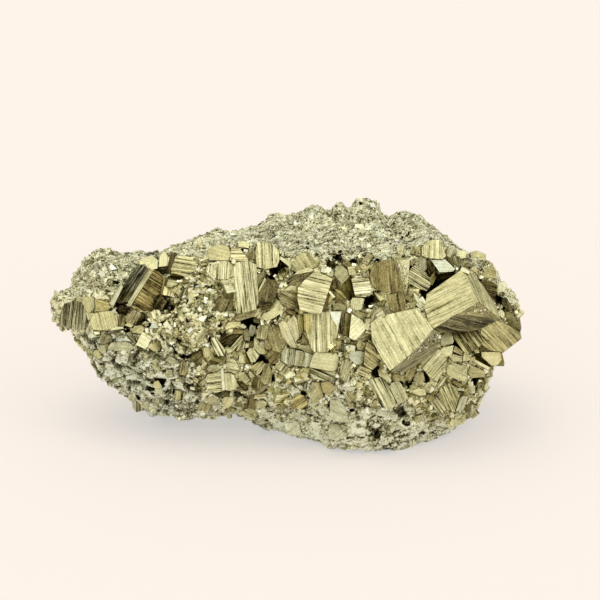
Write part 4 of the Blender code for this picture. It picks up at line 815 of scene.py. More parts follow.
# Widths as shares of the pitch: the least tread, how much wider it may be, the power that makes
# wide ones rare, the least one left at the end, and a riser; then the tilt as a share of the depth.
LEAST_TREAD, MORE_TREAD, RARE, LEAST_LEFT, RISER, TREAD_TILT = 0.3, 1.5, 1.6, 0.3, 0.05, 0.4


def staircase(length, inset, pitch, depth, dice):
    """Treads across a grooved side: place and depth below the crystal's face, in order."""
    points = []
    place, end = -0.5 * length + inset, 0.5 * length - inset
    while place < end:
        stop = place + pitch * (LEAST_TREAD + MORE_TREAD * dice.random() ** RARE)
        if end - stop < LEAST_LEFT * pitch:
            stop = end
        low = depth * dice.random()
        tilt = TREAD_TILT * depth * dice.uniform(-1.0, 1.0)
        points.append((place, max(0.0, low + tilt)))
        points.append((stop, max(0.0, low - tilt)))
        place = stop + RISER * pitch
    return points


PIECE_LENGTH, PIECE_SHIFT = 3.4, 0.3
GOES_ON = 0.65
MARKS = 7.0  # blocks start this far apart at most in the coordinates of their grooves


def lengthwise(span, dice):
    """Cuts that divide a grooved length in pieces, because grooves start and stop."""
    pieces = max(1, round(span / PIECE_LENGTH))
    shifts = [dice.uniform(-PIECE_SHIFT, PIECE_SHIFT) if 0 < i < pieces else 0.0
              for i in range(pieces + 1)]
    return [span * ((i + shift) / pieces - 0.5) for i, shift in enumerate(shifts)]


def changed(stairs, depth, dice):
    """The next piece's stairs, of which some go on and some are new."""
    return [(place, low if dice.random() < GOES_ON else depth * dice.random()) for place, low in stairs]


def extruded(count):
    """Faces of an outline of so many points and its copy."""
    faces = [(k, (k + 1) % count, count + (k + 1) % count, count + k) for k in range(count)]
    return faces + [tuple(reversed(range(count))), tuple(range(count, 2 * count))]


def closed_piece(places, faces, lines, cuts=()):
    """A closed block with its faces outward, cut at planes given as a point and a normal."""
    block = bmesh.new()
    layer = block.verts.layers.float_vector.new("lines")
    verts = [block.verts.new(place) for place in places]
    for vert, line in zip(verts, lines):
        vert[layer] = line
    for face in faces:
        block.faces.new([verts[i] for i in face])
    for point, normal in cuts:
        everything = block.verts[:] + block.edges[:] + block.faces[:]
        cut = bmesh.ops.bisect_plane(block, geom=everything, plane_co=point, plane_no=normal,
                                     clear_outer=True)
        rim = [part for part in cut["geom_cut"] if isinstance(part, bmesh.types.BMEdge)]
        bmesh.ops.holes_fill(block, edges=rim)
    bmesh.ops.recalc_face_normals(block, faces=block.faces)
    block.verts.index_update()
    places = [tuple(vert.co) for vert in block.verts]
    lines = [tuple(vert[layer]) for vert in block.verts]
    faces = [tuple(vert.index for vert in face.verts) for face in block.faces]
    block.free()
    return places, faces, lines


# %% Faces of the display side
SHADES = (0, 20, 60, 110, 140, 168, 190, 209, 225, 242, 255)
BRIGHTNESS = (0.0, 0.01, 0.08, 0.25, 0.37, 0.48, 0.58, 0.66, 0.75, 0.86, 0.98)
# Pitch of the grooves in millimetres, where it isn't the usual one.
PITCHES = {"great slab": 0.55, "great cube": 0.8, "fluted cube": 0.75, "long ribs": 0.62,
           "right wing": 0.42, "white ribbed": 0.7, "twin left": 0.6, "ribbed left": 0.6,
           "grey fan": 0.6, "ribbed wall": 0.6, "brown block": 0.38}
USUAL_PITCH, SMOOTH_PITCH, FINEST_PITCH = 0.45, 1.3, 0.22
PITCH_SHARE = 0.25     # greatest pitch for the shortest way over a face
STEEPEST = 0.35        # greatest depth of a groove for its pitch
SPARE = 0.3            # how far a block is drawn beyond its face before it is cut
SMOOTH = 0.11          # grooves fainter than this make a smooth face
DEPTH_SHARE = 0.48     # depth of the grooves for how clear they are
FLARE = 0.04           # how far a block widens with each millimetre of depth
FACE_SHARE = 0.03      # how far the tone of a face strays
TURNED_SHARE = 0.60    # painted light for a face that turns aside, for what it mirrors
RAISED_SHARE = 0.28    # painted shade for one that looks upwards, under the soft box
LOWERED_SHARE = 0.75   # painted shade for one that looks down, over its own shadow


def face_cuts(corners, plane):
    """Planes along the outline's edges, as points and normals."""
    cuts = []
    for (x1, v1), (x2, v2) in edges_of(corners):
        length = math.dist((x1, v1), (x2, v2))
        sideways = VIEW_RIGHT * ((v2 - v1) / length) - VIEW_UP * ((x2 - x1) / length)
        cuts.append((seen_place(x1, v1, plane.at(x1, v1)), sideways + TO_VIEWER * FLARE))
    return cuts


def root_depth(corners, plane):
    """How far the block of a face goes back to be rooted in the ore, for a crystal of its size."""
    area = 0.5 * abs(sum(x1 * v2 - x2 * v1 for (x1, v1), (x2, v2) in edges_of(corners)))
    needed = ROOTED + max(0.0, *(plane.at(*corner) - seen_depth(*corner) for corner in corners))
    return min(needed, LEAST_ROOT + ROOT_SHARE * math.sqrt(area))


def face_tone(shade, outward):
    """Tone of a face for its shade, with light and shade painted by the way it faces."""
    turned = 1.0 - outward.dot(TO_VIEWER)
    upwards = outward.dot(VIEW_UP)
    tone = float(np.interp(shade, SHADES, BRIGHTNESS))
    return tone * (1.0 + TURNED_SHARE * turned - RAISED_SHARE * max(0.0, upwards)
                   + LOWERED_SHARE * min(0.0, upwards))


def grow_face(shape, name, dice):
    """Add the grooved block of one face."""
    angle, shade, warmth, clearness = FACES[name][:4]
    plane, corners = planes[name], corners_of(name)
    outward = plane.outward()
    way = VIEW_RIGHT * math.cos(math.radians(angle)) + VIEW_UP * math.sin(math.radians(angle))
    along = (way - TO_VIEWER * (way.dot(outward) / TO_VIEWER.dot(outward))).normalized()
    across = along.cross(outward).normalized()
    middle = middle_of(corners)
    origin = seen_place(*middle, plane.at(*middle))
    flat = [seen_place(x, v, plane.at(x, v)) - origin for x, v in corners]
    root = root_depth(corners, plane)
    spare = FLARE * root + SPARE
    (low_a, high_a), (low_b, high_b) = (
        (min(p.dot(side) for p in flat) - spare, max(p.dot(side) for p in flat) + spare)
        for side in (across, along))
    origin += across * (0.5 * (low_a + high_a)) + along * (0.5 * (low_b + high_b))
    width, span = high_a - low_a, high_b - low_b
    shortest = min(width, span) - 2.0 * spare
    pitch = PITCHES.get(name, SMOOTH_PITCH if clearness < SMOOTH else USUAL_PITCH)
    pitch = min(pitch, max(FINEST_PITCH, PITCH_SHARE * shortest))
    depth = min(DEPTH_SHARE * clearness, STEEPEST * pitch)
    stairs = staircase(width, 0.0, pitch, depth, dice)
    tone = (face_tone(shade, outward) + dice.uniform(-FACE_SHARE, FACE_SHARE), warmth, clearness)
    cuts = face_cuts(corners, plane)
    mark = MARKS * dice.random()
    stops = lengthwise(span, dice)
    for start, stop in zip(stops, stops[1:]):
        outline = stairs + [(0.5 * width, root), (-0.5 * width, root)]
        places = [origin + across * place + along * end - TO_VIEWER * low
                  for end in (start, stop) for place, low in outline]
        lines = [(place, end, mark) for end in (start, stop) for place, low in outline]
        places, faces, lines = closed_piece(places, extruded(len(outline)), lines, cuts)
        if faces:
            shape.add(places, faces, lines, tone)
        stairs = changed(stairs, depth, dice)


front = Shape()
for name in FACES:
    grow_face(front, name, random.Random(name))
front_crystals = front.piece("front_crystals")

# %% Crystals of the back
BACK_TONES = (0.48, 0.72)
BACK_WARMTHS = (-0.2, 0.3)
BACK_GROOVES = (0.45, 0.13, 0.42)  # pitch, depth and how clear
BACK_INSET = 0.2


def grow_crystal(shape, box, dice):
    """Add a crystal of three grooved blocks, one for each pair of opposite faces."""
    middle, *edges = box
    lengths = [edge.length for edge in edges]
    directions = [edge.normalized() for edge in edges]
    pitch, depth, clearness = BACK_GROOVES
    tone = (dice.uniform(*BACK_TONES), dice.uniform(*BACK_WARMTHS), clearness)
    mark = MARKS * dice.random()
    turned = dice.random() < 0.5
    for out in range(3):
        across, along = ((out + 1) % 3, (out + 2) % 3) if turned else ((out + 2) % 3, (out + 1) % 3)
        inset = min(depth, BACK_INSET * min(lengths))
        upper = staircase(lengths[across], inset, pitch, depth, dice)
        lower = staircase(lengths[across], inset, pitch, depth, dice)
        stops = lengthwise(lengths[along] - 2.0 * inset, dice)
        for start, stop in zip(stops, stops[1:]):
            outline = [(place, 0.5 * lengths[out] - low) for place, low in upper]
            outline += [(place, low - 0.5 * lengths[out]) for place, low in reversed(lower)]
            places = [middle + directions[across] * place + directions[out] * height
                      + directions[along] * end for end in (start, stop) for place, height in outline]
            lines = [(place, end, out + 3.0 * (height > 0.0) + mark)
                     for end in (start, stop) for place, height in outline]
            shape.add(*closed_piece(places, extruded(len(outline)), lines), tone)
            upper, lower = changed(upper, depth, dice), changed(lower, depth, dice)


back = Shape()
back_dice = random.Random("back")
for box in hidden:
    grow_crystal(back, box, back_dice)
back_crystals = back.piece("back_crystals")


# %% Where the faces are
FACED = -0.1          # least share of facing the viewer
UNDER = 0.35          # how far under a face the ore is kept
UNDER_REACH = 0.2     # how far beyond its outline
FILLED_TO = 0.40      # how far under the faces the ore between them is filled up
FILL_REACH = 1.0      # how fast the filling fades away from a face
LAST_REACH = 2.2      # where it ends
MOST_FILL = 2.2
STEEP = 0.75          # faces that drop faster than this aren't filled up to


def outside(x, seen, corners):
    """How far each place is outside an outline; negative inside."""
    far = np.full(len(x), -1e9)
    for (x1, v1), (x2, v2) in edges_of(corners):
        length = math.dist((x1, v1), (x2, v2))
        far = np.maximum(far, ((x - x1) * (v2 - v1) - (seen - v1) * (x2 - x1)) / length)
    return far


def fitted_to_faces(points, facing):
    """The points filled up between the faces and sunk under them, and how far they are from one."""
    x, seen = points[:, 0], seen_height(points)
    depth = points @ np.array(TO_VIEWER)
    highest, nearest = np.full(len(points), 1e9), np.full(len(points), 1e9)
    weights, wanted = np.zeros(len(points)), np.zeros(len(points))
    for name, plane in planes.items():
        far = np.where(facing > FACED, outside(x, seen, corners_of(name)), 1e9)
        nearest = np.minimum(nearest, far)
        here = np.flatnonzero(far < UNDER_REACH)
        highest[here] = np.minimum(highest[here], plane.at(x[here], seen[here]) - UNDER)
        if math.hypot(*plane.slope) < STEEP and STANDS.get(name, 1.0) > 0.0:
            here = np.flatnonzero(far < LAST_REACH)
            share = np.exp(-(np.maximum(far[here], 0.0) / FILL_REACH) ** 2)
            weights[here] += share
            wanted[here] += share * (plane.at(x[here], seen[here]) - FILLED_TO)
    fill = np.clip(wanted / np.maximum(weights, 1e-6) - depth, 0.0, MOST_FILL)
    fill *= np.clip(1.3 * weights, 0.0, 1.0) * np.clip(3.0 * facing, 0.0, 1.0)
    depth_change = fill - np.maximum(depth + fill - highest, 0.0)
    return points + np.array(TO_VIEWER) * depth_change[:, None], nearest


# %% [markdown]
# ## The fine surface of the ore
#
# Massive pyrite breaks into small flat chips that face every way, which is what makes it sparkle.
# A cell noise does that to a surface: every point belongs to its nearest seed, and each seed tilts
# its own patch at random. Three sizes of chip are laid over the loft, with strengths that differ
# between the sloping top, the mound, the pocket and the cracked parts below. Cracks run along the
# borders of the large chips, and a few deep pits are sunk where the mass has holes. Both are also
# darkened with painted shade.


# %% Chips by cells
def cell_random(cells, channel):
    """Even random numbers from 0 to 1 for whole-number cells."""
    mixed = (cells[..., 0] * 73856093) ^ (cells[..., 1] * 19349663) ^ (cells[..., 2] * 83492791)
    mixed = (mixed ^ (channel * 2654435761)) & 0xFFFFFFFF
    for _ in range(2):
        mixed = ((mixed ^ (mixed >> 15)) * 2246822519) & 0xFFFFFFFF
        mixed = ((mixed ^ (mixed >> 13)) * 3266489917) & 0xFFFFFFFF
    return ((mixed ^ (mixed >> 16)) & 0xFFFFFF) / float(0x1000000)


def chips(points, size, channel):
    """Chip at each point: height, tone, distance from its border, and place along its own streaks."""
    scaled = points / size
    home = np.floor(scaled).astype(np.int64)
    nearest, second = np.full(len(points), 1e9), np.full(len(points), 1e9)
    cell, offset = home.copy(), np.zeros_like(scaled)
    for shift in product((-1, 0, 1), repeat=3):
        cells = home + np.array(shift)
        away = scaled - cells - np.stack([cell_random(cells, channel + k) for k in range(3)], axis=1)
        distance = (away ** 2).sum(axis=1)
        closer = distance < nearest
        second = np.where(closer, nearest, np.minimum(second, distance))
        nearest = np.where(closer, distance, nearest)
        cell[closer], offset[closer] = cells[closer], away[closer]
    dice = np.stack([cell_random(cell, channel + k) - 0.5 for k in range(3, 15)], axis=1)
    height = (offset * dice[:, :3]).sum(axis=1) * 1.6 + 0.55 * dice[:, 3]
    across = dice[:, 4:7] / np.linalg.norm(dice[:, 4:7], axis=1, keepdims=True)
    along = np.cross(across, dice[:, 7:10])
    along /= np.linalg.norm(along, axis=1, keepdims=True) + 1e-9
    places = [size * (offset * way).sum(axis=1) for way in (across, along)] + [7.0 * dice[:, 10]]
    return height, dice[:, 11], np.sqrt(second) - np.sqrt(nearest), np.stack(places, axis=1)


# %% Zones of the surface
def fade(values, low, high):
    """Smooth rise from 0 at low to 1 at high."""
    t = np.clip((values - low) / (high - low), 0.0, 1.0)
    return t * t * (3.0 - 2.0 * t)


def blob(x, seen, place, radius):
    """1 at a seen place, falling to 0 around it."""
    return np.exp(-(((x - place[0]) / radius[0]) ** 2 + ((seen - place[1]) / radius[1]) ** 2))


def zones(points, normals):
    """Share of each kind of surface at each point."""
    x, seen = points[:, 0], seen_height(points)
    facing = normals @ np.array(TO_VIEWER)
    above = fade(seen - many_along(RIM, x), -0.6, 0.6) * fade(normals[:, 2], 0.2, 0.6)
    front = fade(facing, -0.1, 0.3) * (1.0 - above)
    mound = front * np.clip(1.5 * blob(x, seen, (-18.5, 27.0), (7.5, 7.0)), 0.0, 1.0)
    pocket = front * np.clip(1.6 * blob(x, seen, (-9.5, 19.0), (7.5, 7.5)), 0.0, 1.0)
    pocket *= 1.0 - fade(mound, 0.4, 0.9)
    nest = fade(seen, 13.0, 16.0) * fade(x, -6.0, -2.0)
    nest = np.maximum(nest, fade(x, 13.0, 16.0) * fade(seen, 8.5, 10.5))
    nest = np.maximum(nest, fade(x, 24.0, 27.0) * fade(seen, 5.5, 7.5))
    nest = np.maximum(nest, fade(seen, 29.0, 31.0) * fade(x, -13.0, -10.0))
    nest = front * nest * (1.0 - fade(np.maximum(mound, pocket), 0.4, 0.9))
    upper_left = front * (1.0 - fade(x, -27.0, -23.0)) * fade(seen, 30.0, 32.0)
    low_left = front * (1.0 - fade(seen, 22.0, 25.0)) * (1.0 - fade(x, -19.0, -15.0))
    low_left = low_left * (1.0 - mound)
    taken = np.clip(mound + pocket + nest + upper_left + low_left, 0.0, 1.0)
    low_right = (front - taken).clip(0.0, 1.0) * (1.0 - fade(seen, 15.0, 18.0))
    rest = (front - taken - low_right).clip(0.0, 1.0)
    back = 1.0 - np.clip(above + front, 0.0, 1.0)
    return {"plateau": above, "mound": mound, "pocket": pocket, "nest": nest, "rest": rest,
            "upper left": upper_left, "low left": low_left, "low right": low_right, "back": back}


# %% Pits and fine rings
# x and seen height of a hole, radius, depth; the ore in it is also darkened with painted shade.
PITS = (
    (-25.6, 36.2, 0.8, 2), (-25.2, 29.6, 1.2, 3), (-1.6, 37, 1.6, 3), (38, 13.8, 0.9, 3),
    (3.7, 11.6, 0.5, 1.6), (-25, 13.6, 0.9, 2.2), (28, 15, 0.9, 2.5), (18, 16.2, 1, 2.5),
    (17, 30, 1.2, 3), (22.6, 7.8, 0.8, 1.2), (-9.6, 11.2, 0.8, 2), (-7, 25.5, 1.2, 2.5),
    (-13, 22, 1.2, 2.5), (-5, 18, 1.2, 2.5), (28, 33, 2.4, 2.5), (39, 36.2, 0.9, 2), (42.5, 30.5, 1, 2.5),
    (10.4, 38.6, 0.8, 2), (13.6, 38, 0.6, 1.6), (24.2, 13.2, 0.6, 1.5), (-3.4, 15.6, 1.4, 1.5),
    (-38.6, 17, 0.8, 1.5), (-31.5, 25.4, 0.8, 2), (-33, 29.4, 1, 2), (-33.6, 13.2, 0.6, 1.2),
    (34, 22, 1.2, 2.5),
)
RAGGED = 1.7


def pit_depth(points, facing, uneven):
    """How deep the pits sink each point of the display side; uneven makes their outlines ragged."""
    x, seen = points[:, 0], seen_height(points)
    depth = np.zeros(len(points))
    for pit_x, pit_seen, radius, deep in PITS:
        away = ((x - pit_x) ** 2 + (seen - pit_seen) ** 2) / radius ** 2
        away = away * (1.0 + RAGGED * uneven)
        depth = np.maximum(depth, deep * np.exp(-away * away))
    return depth * fade(facing, 0.0, 0.4)


# Points between the corners of a ring: many on the display side and the top, few below and behind.
RING_STEPS = (34, 34, 34, 34, 34, 28, 14, 14, 14, 8, 8, 14)
ORE_STATIONS = 340
EVEN_SHARE = 0.85  # how evenly the stations stand, against closer towards the ends
ore_rings = lump_rings(ORE_STATIONS, RING_STEPS, EVEN_SHARE)
ore_normals = ring_normals(ore_rings).reshape(-1, 3)
smooth = swollen(ore_rings.reshape(-1, 3), ore_normals)
zone = zones(smooth, ore_normals)
print("zones cover:", {name: round(float(share.mean()), 3) for name, share in zone.items()})

# %% Chips, cracks and pits of the ore
CHIP_SIZES = (3.4, 1.7, 0.8)
STRETCH = np.array((0.75, 1.0, 1.25))
massive = np.clip(zone["low left"] + zone["low right"] + 0.6 * zone["rest"], 0.0, 1.0)
strength = (
    0.10 + 0.14 * massive + 0.26 * zone["low left"] + 0.15 * zone["mound"] + 0.18 * zone["back"],
    0.12 + 0.10 * massive + 0.06 * zone["low left"] + 0.25 * zone["mound"] + 0.15 * zone["back"],
    0.20 + 0.02 * massive + 0.26 * zone["plateau"],
)
STREAKED = 1  # the size of chip whose streaks are drawn
TONE_SHARES = (0.15, 0.5, 0.85)
chip_height, chip_tone, crack = (np.zeros(len(smooth)) for _ in range(3))
for step, (size, share) in enumerate(zip(CHIP_SIZES, strength)):
    height, tone, border, places = chips((smooth + 31.0 * step) * STRETCH, size, 17 * step)
    if step == STREAKED:
        streak_places = places
    chip_height += size * share * height
    chip_tone += TONE_SHARES[step] * tone
    crack = np.maximum(crack, (1.0 - fade(border, 0.0, 0.16 + 0.05 * step)) * share / (0.5 + step))
facing = ore_normals @ np.array(TO_VIEWER)
sunk = pit_depth(smooth, facing, chip_tone)
ore_points = smooth + ore_normals * (chip_height - 0.12 - 0.9 * crack)[:, None]
ore_points, from_face = fitted_to_faces(ore_points, facing)
ore_points -= np.array(TO_VIEWER) * sunk[:, None]
ore_points[:, 2] = np.maximum(ore_points[:, 2], 0.0)
ore_points = np.vstack((ore_points, tips()))
print("chips from", round(float(chip_height.min()), 2), "to", round(float(chip_height.max()), 2), "mm")

# %% [markdown]
# Small crystals and grains must not hide the large faces. So the ore also carries growth values: how
# densely each kind of small thing may grow there, and nothing on or close round a face.


# %% Growth values
def covered(points, boxes, around):
    """Whether each point is inside one of the boxes, or this near to it."""
    inside = np.zeros(len(points), bool)
    for middle, *edges in boxes:
        inverse = np.linalg.inv(np.array(edges).T)
        own = (points - np.array(middle)) @ inverse.T
        reach = np.array([0.5 + around / edge.length for edge in edges])
        inside |= (np.abs(own) < reach).all(axis=1)
    return inside


def give_attribute(mesh, name, values):
    """Store one number for each point, and none for the last ones that have no value."""
    layer = mesh.attributes.new(name, "FLOAT", "POINT")
    padded = np.zeros(len(mesh.vertices), np.float32)
    padded[:len(values)] = values
    layer.data.foreach_set("value", padded)


LOWEST_GROWTH, LOWEST_CRYSTALS = 1.6, 3.4
CRYSTALS_TO = 42.0
FREE_AROUND, DEEPEST_GROWTH = 0.15, 0.6
free = ~covered(smooth, hidden, FREE_AROUND) & (ore_points[:-2, 2] > LOWEST_GROWTH)
free &= sunk < DEEPEST_GROWTH
growth = {
    "crystal growth": zone["nest"] + zone["pocket"] + 0.10 * zone["back"]
    + 0.35 * zone["rest"] + 0.05 * zone["mound"],
    "grain growth": zone["mound"] + 0.6 * zone["nest"] + 0.5 * zone["pocket"]
    + 0.35 * zone["back"] + 0.02 * massive,
    "chip growth": 0.05 * massive + zone["back"] + 0.4 * zone["mound"] + 0.2 * zone["upper left"]
    + 0.2 * zone["plateau"],
    "fine growth": zone["plateau"] + zone["upper left"] + 0.06 * massive + 0.5 * zone["mound"]
    + 0.4 * zone["back"] + 0.4 * (zone["nest"] + zone["pocket"]),
}
CLEAR = {"crystal growth": 0.5, "grain growth": 0.15, "chip growth": 0.2, "fine growth": 0.0}
growth = {name: free * (from_face > CLEAR[name]) * np.clip(share, 0.0, 1.0)
          for name, share in growth.items()}
growth["crystal growth"] *= (np.abs(smooth[:, 0]) < CRYSTALS_TO) & (ore_points[:-2, 2] > LOWEST_CRYSTALS)

# %% Build the ore
ore_mesh = bpy.data.meshes.new("massive_ore")
ore_mesh.from_pydata(((ore_points + np.array(CENTRE)) * MM).tolist(), [],
                     ring_faces(ORE_STATIONS, ore_rings.shape[1]))
# Painted shade on the ore: the first attribute darkens the low points of the chips; the second darkens the
# gaps of the nest and the pocket, the cracks and the pits, and its zone terms brighten or darken whole
# zones.
give_attribute(ore_mesh, "recess_shade", np.clip(0.5 - chip_height, 0.0, 1.0))
gaps = np.clip(zone["nest"] + zone["pocket"], 0.0, 1.0)
give_attribute(ore_mesh, "light", (1.0 - 0.25 * gaps) * (1.0 - 0.62 * np.clip(1.6 * crack, 0.0, 1.0))
               * (1.0 - 0.92 * np.clip(1.2 * sunk, 0.0, 1.0))
               * (1.0 - 0.14 * zone["upper left"] - 0.06 * zone["plateau"] + 0.20 * zone["mound"]
                  + 0.22 * massive - 0.10 * zone["low left"]))
give_attribute(ore_mesh, "chip tone", chip_tone)
give_vectors(ore_mesh, "lines", np.vstack((streak_places, np.zeros((2, 3)))))
give_attribute(ore_mesh, "grey", np.clip(zone["low left"] + 0.7 * zone["low right"], 0.0, 1.0)
               + 0.35 * zone["plateau"] + 0.4 * zone["upper left"])
for name, values in growth.items():
    give_attribute(ore_mesh, name, values)
shape = bmesh.new()
shape.from_mesh(ore_mesh)
bmesh.ops.recalc_face_normals(shape, faces=shape.faces)
shape.to_mesh(ore_mesh)
shape.free()
massive_ore = placed("massive_ore", ore_mesh)

# %% [markdown]
# ## Finishes
#
# Pyrite is a metal to the eye: pale brass-yellow, browner where it is dark, greyer or greener
# where it is tarnished. The colour of a facet is one effect that all finishes share, so it is a
# node group with named inputs. Grooves finer than the modelled ones are another group: a noise
# that is stretched along the grooves, read from coordinates that every crystal face carries; it
# gives their height and paints their light and shade. Every finish also paints shade into its
# corners and gaps.


# %% Helpers for node trees
def new_group(name, inputs, outputs, kind="ShaderNodeTree"):
    """Node group with the given sockets: a name, a type and, for an input, its value or None."""
    tree = bpy.data.node_groups.new(name, kind)
    for socket, type_name, value in inputs:
        made = tree.interface.new_socket(socket, in_out="INPUT", socket_type=type_name)
        if value is not None:
            made.default_value = value
    for socket, type_name in outputs:
        tree.interface.new_socket(socket, in_out="OUTPUT", socket_type=type_name)
    return tree, tree.nodes.new("NodeGroupInput"), tree.nodes.new("NodeGroupOutput")


def feed(tree, socket, value):
    """Link a socket to a value, or set it."""
    if isinstance(value, bpy.types.NodeSocket):
        tree.links.new(value, socket)
    else:
        socket.default_value = value


def math_node(tree, operation, a, b=0.5, clamp=False):
    """Math node whose inputs are sockets or numbers."""
    node = tree.nodes.new("ShaderNodeMath")
    node.operation = operation
    node.use_clamp = clamp
    feed(tree, node.inputs[0], a)
    feed(tree, node.inputs[1], b)
    return node.outputs[0]


def noise_node(tree, vector, scale, detail=2.0, rough=0.5):
    """Noise of a vector; on object coordinates, the scale is in repeats to the metre."""
    node = tree.nodes.new("ShaderNodeTexNoise")
    for name, value in (("Vector", vector), ("Scale", scale), ("Detail", detail), ("Roughness", rough)):
        feed(tree, node.inputs[name], value)
    return node.outputs["Fac"]


def mix_node(tree, factor, a, b, blend="MIX"):
    """Mix of two colours, each a socket or a colour."""
    node = tree.nodes.new("ShaderNodeMix")
    node.data_type = "RGBA"
    node.blend_type = blend
    for socket, value in zip((node.inputs[0], node.inputs[6], node.inputs[7]), (factor, a, b)):
        feed(tree, socket, value)
    return node.outputs[2]


def ranged(tree, value, low, high, to_low=0.0, to_high=1.0):
    """Value mapped from one range to another, and kept within it."""
    node = tree.nodes.new("ShaderNodeMapRange")
    for socket, number in zip(node.inputs[:5], (value, low, high, to_low, to_high)):
        feed(tree, socket, number)
    return node.outputs[0]


# %% Colour of pyrite
TONES = ((0.0, (0.012, 0.010, 0.004)), (0.25, (0.18, 0.157, 0.068)), (0.5, (0.42, 0.396, 0.205)),
         (0.75, (0.66, 0.645, 0.365)), (1.0, (0.90, 0.89, 0.62)))
COOL_TINT = (0.90, 0.97, 1.25, 1.0)
WARM_TINT = (1.05, 0.95, 0.70, 1.0)


def pyrite_colour():
    """Group: colour of pyrite from a brightness and a warmth, mottled over the surface."""
    tree, start, result = new_group(
        "pyrite colour",
        (("Brightness", "NodeSocketFloat", 0.6), ("Warmth", "NodeSocketFloat", 0.0),
         ("Mottle", "NodeSocketFloat", 0.2), ("Place", "NodeSocketVector", None)),
        (("Color", "NodeSocketColor"), ("Tarnish", "NodeSocketFloat")))
    given = start.outputs
    patches = noise_node(tree, given["Place"], 420.0, 4.0, 0.6)
    specks = noise_node(tree, given["Place"], 3000.0, 2.0, 0.6)
    tarnish = ranged(tree, patches, 0.50, 0.72)
    mottle = math_node(tree, "ADD", ranged(tree, patches, 0.3, 0.7, -0.5, 0.5),
                       ranged(tree, specks, 0.3, 0.7, -0.5, 0.5))
    mottle = math_node(tree, "MULTIPLY", mottle, given["Mottle"])
    bright = math_node(tree, "ADD", given["Brightness"], mottle, clamp=True)
    ramp = tree.nodes.new("ShaderNodeValToRGB")
    stops = ramp.color_ramp.elements
    for index, (place, colour) in enumerate(TONES):
        stop = stops[index] if index < 2 else stops.new(place)
        stop.position = place
        stop.color = (*colour, 1.0)
    tree.links.new(bright, ramp.inputs["Fac"])
    cool = math_node(tree, "MULTIPLY", given["Warmth"], -1.0, clamp=True)
    warm = math_node(tree, "ADD", given["Warmth"],
                     math_node(tree, "MULTIPLY", tarnish, 0.25), clamp=True)
    colour = mix_node(tree, warm, ramp.outputs["Color"],
                      mix_node(tree, 1.0, ramp.outputs["Color"], WARM_TINT, "MULTIPLY"))
    colour = mix_node(tree, cool, colour, mix_node(tree, 1.0, colour, COOL_TINT, "MULTIPLY"))
    tree.links.new(colour, result.inputs["Color"])
    tree.links.new(tarnish, result.inputs["Tarnish"])
    return tree


def fine_grooves():
    """Group: fine grooves' height and painted light and shade along them, from the faces' coordinates."""
    tree, start, result = new_group(
        "fine grooves",
        (("Lines", "NodeSocketVector", None), ("Pitch", "NodeSocketFloat", 0.3)),
        (("Height", "NodeSocketFloat"), ("Streak", "NodeSocketFloat")))
    given = start.outputs
    split = tree.nodes.new("ShaderNodeSeparateXYZ")
    tree.links.new(given["Lines"], split.inputs[0])

    def stretched(width, length, shift):
        """Noise that runs along the grooves."""
        joined = tree.nodes.new("ShaderNodeCombineXYZ")
        across = math_node(tree, "DIVIDE", split.outputs[0], given["Pitch"])
        tree.links.new(math_node(tree, "MULTIPLY", across, width), joined.inputs[0])
        tree.links.new(math_node(tree, "MULTIPLY", split.outputs[1], length), joined.inputs[1])
        side = math_node(tree, "MULTIPLY", split.outputs[2], 5.3)
        tree.links.new(math_node(tree, "ADD", side, shift), joined.inputs[2])
        return noise_node(tree, joined.outputs[0], 1.0, 3.0, 0.6)

    fine, broad, lines = stretched(1.0, 0.12, 0.0), stretched(0.3, 0.05, 40.0), stretched(0.7, 0.15, 80.0)
    # The streak paints light and shade along the grooves, with darker and brighter lines.
    streak = math_node(tree, "ADD", ranged(tree, fine, 0.32, 0.68, -0.6, 0.6),
                       ranged(tree, broad, 0.32, 0.68, -0.5, 0.5))
    streak = math_node(tree, "SUBTRACT", streak, ranged(tree, lines, 0.57, 0.64, 0.0, 1.3))
    streak = math_node(tree, "ADD", streak, ranged(tree, lines, 0.42, 0.34, 0.0, 0.8))
    tree.links.new(fine, result.inputs["Height"])
    tree.links.new(streak, result.inputs["Streak"])
    return tree


colour_group = pyrite_colour()
groove_group = fine_grooves()


# %% Parts that all finishes use
def new_material(name):
    """Material with its Principled shader, and the object's own coordinates."""
    material = bpy.data.materials.new(name)
    material.use_nodes = True
    tree = material.node_tree
    shader = tree.nodes["Principled BSDF"]
    shader.inputs["Metallic"].default_value = 1.0
    place = tree.nodes.new("ShaderNodeTexCoord").outputs["Object"]
    return material, tree, shader, place


def attribute_node(tree, name):
    """Attribute that the mesh carries."""
    node = tree.nodes.new("ShaderNodeAttribute")
    node.attribute_type = "GEOMETRY"
    node.attribute_name = name
    return node


def split_attribute(tree, name):
    """The three numbers of a vector attribute."""
    node = tree.nodes.new("ShaderNodeSeparateXYZ")
    tree.links.new(attribute_node(tree, name).outputs["Vector"], node.inputs[0])
    return node.outputs


def group_node(tree, group, **sockets):
    """Node that uses a group, with its sockets linked or set."""
    node = tree.nodes.new("ShaderNodeGroup")
    node.node_tree = group
    for name, value in sockets.items():
        feed(tree, node.inputs[name], value)
    return node.outputs


def with_painted_shade(tree, brightness, reach, darkest):
    """Brightness lessened in corners and gaps by ambient occlusion: painted shade."""
    node = tree.nodes.new("ShaderNodeAmbientOcclusion")
    node.samples = 6
    node.inputs["Distance"].default_value = reach
    open_share = ranged(tree, node.outputs["AO"], 0.25, 0.85, darkest, 1.0)
    return math_node(tree, "MULTIPLY", brightness, open_share)


def bump_node(tree, shader, height, distance, strength=1.0):
    """Bump that feeds the shader's normal; distance is in metres."""
    node = tree.nodes.new("ShaderNodeBump")
    node.inputs["Strength"].default_value = strength
    node.inputs["Distance"].default_value = distance
    tree.links.new(height, node.inputs["Height"])
    tree.links.new(node.outputs["Normal"], shader.inputs["Normal"])


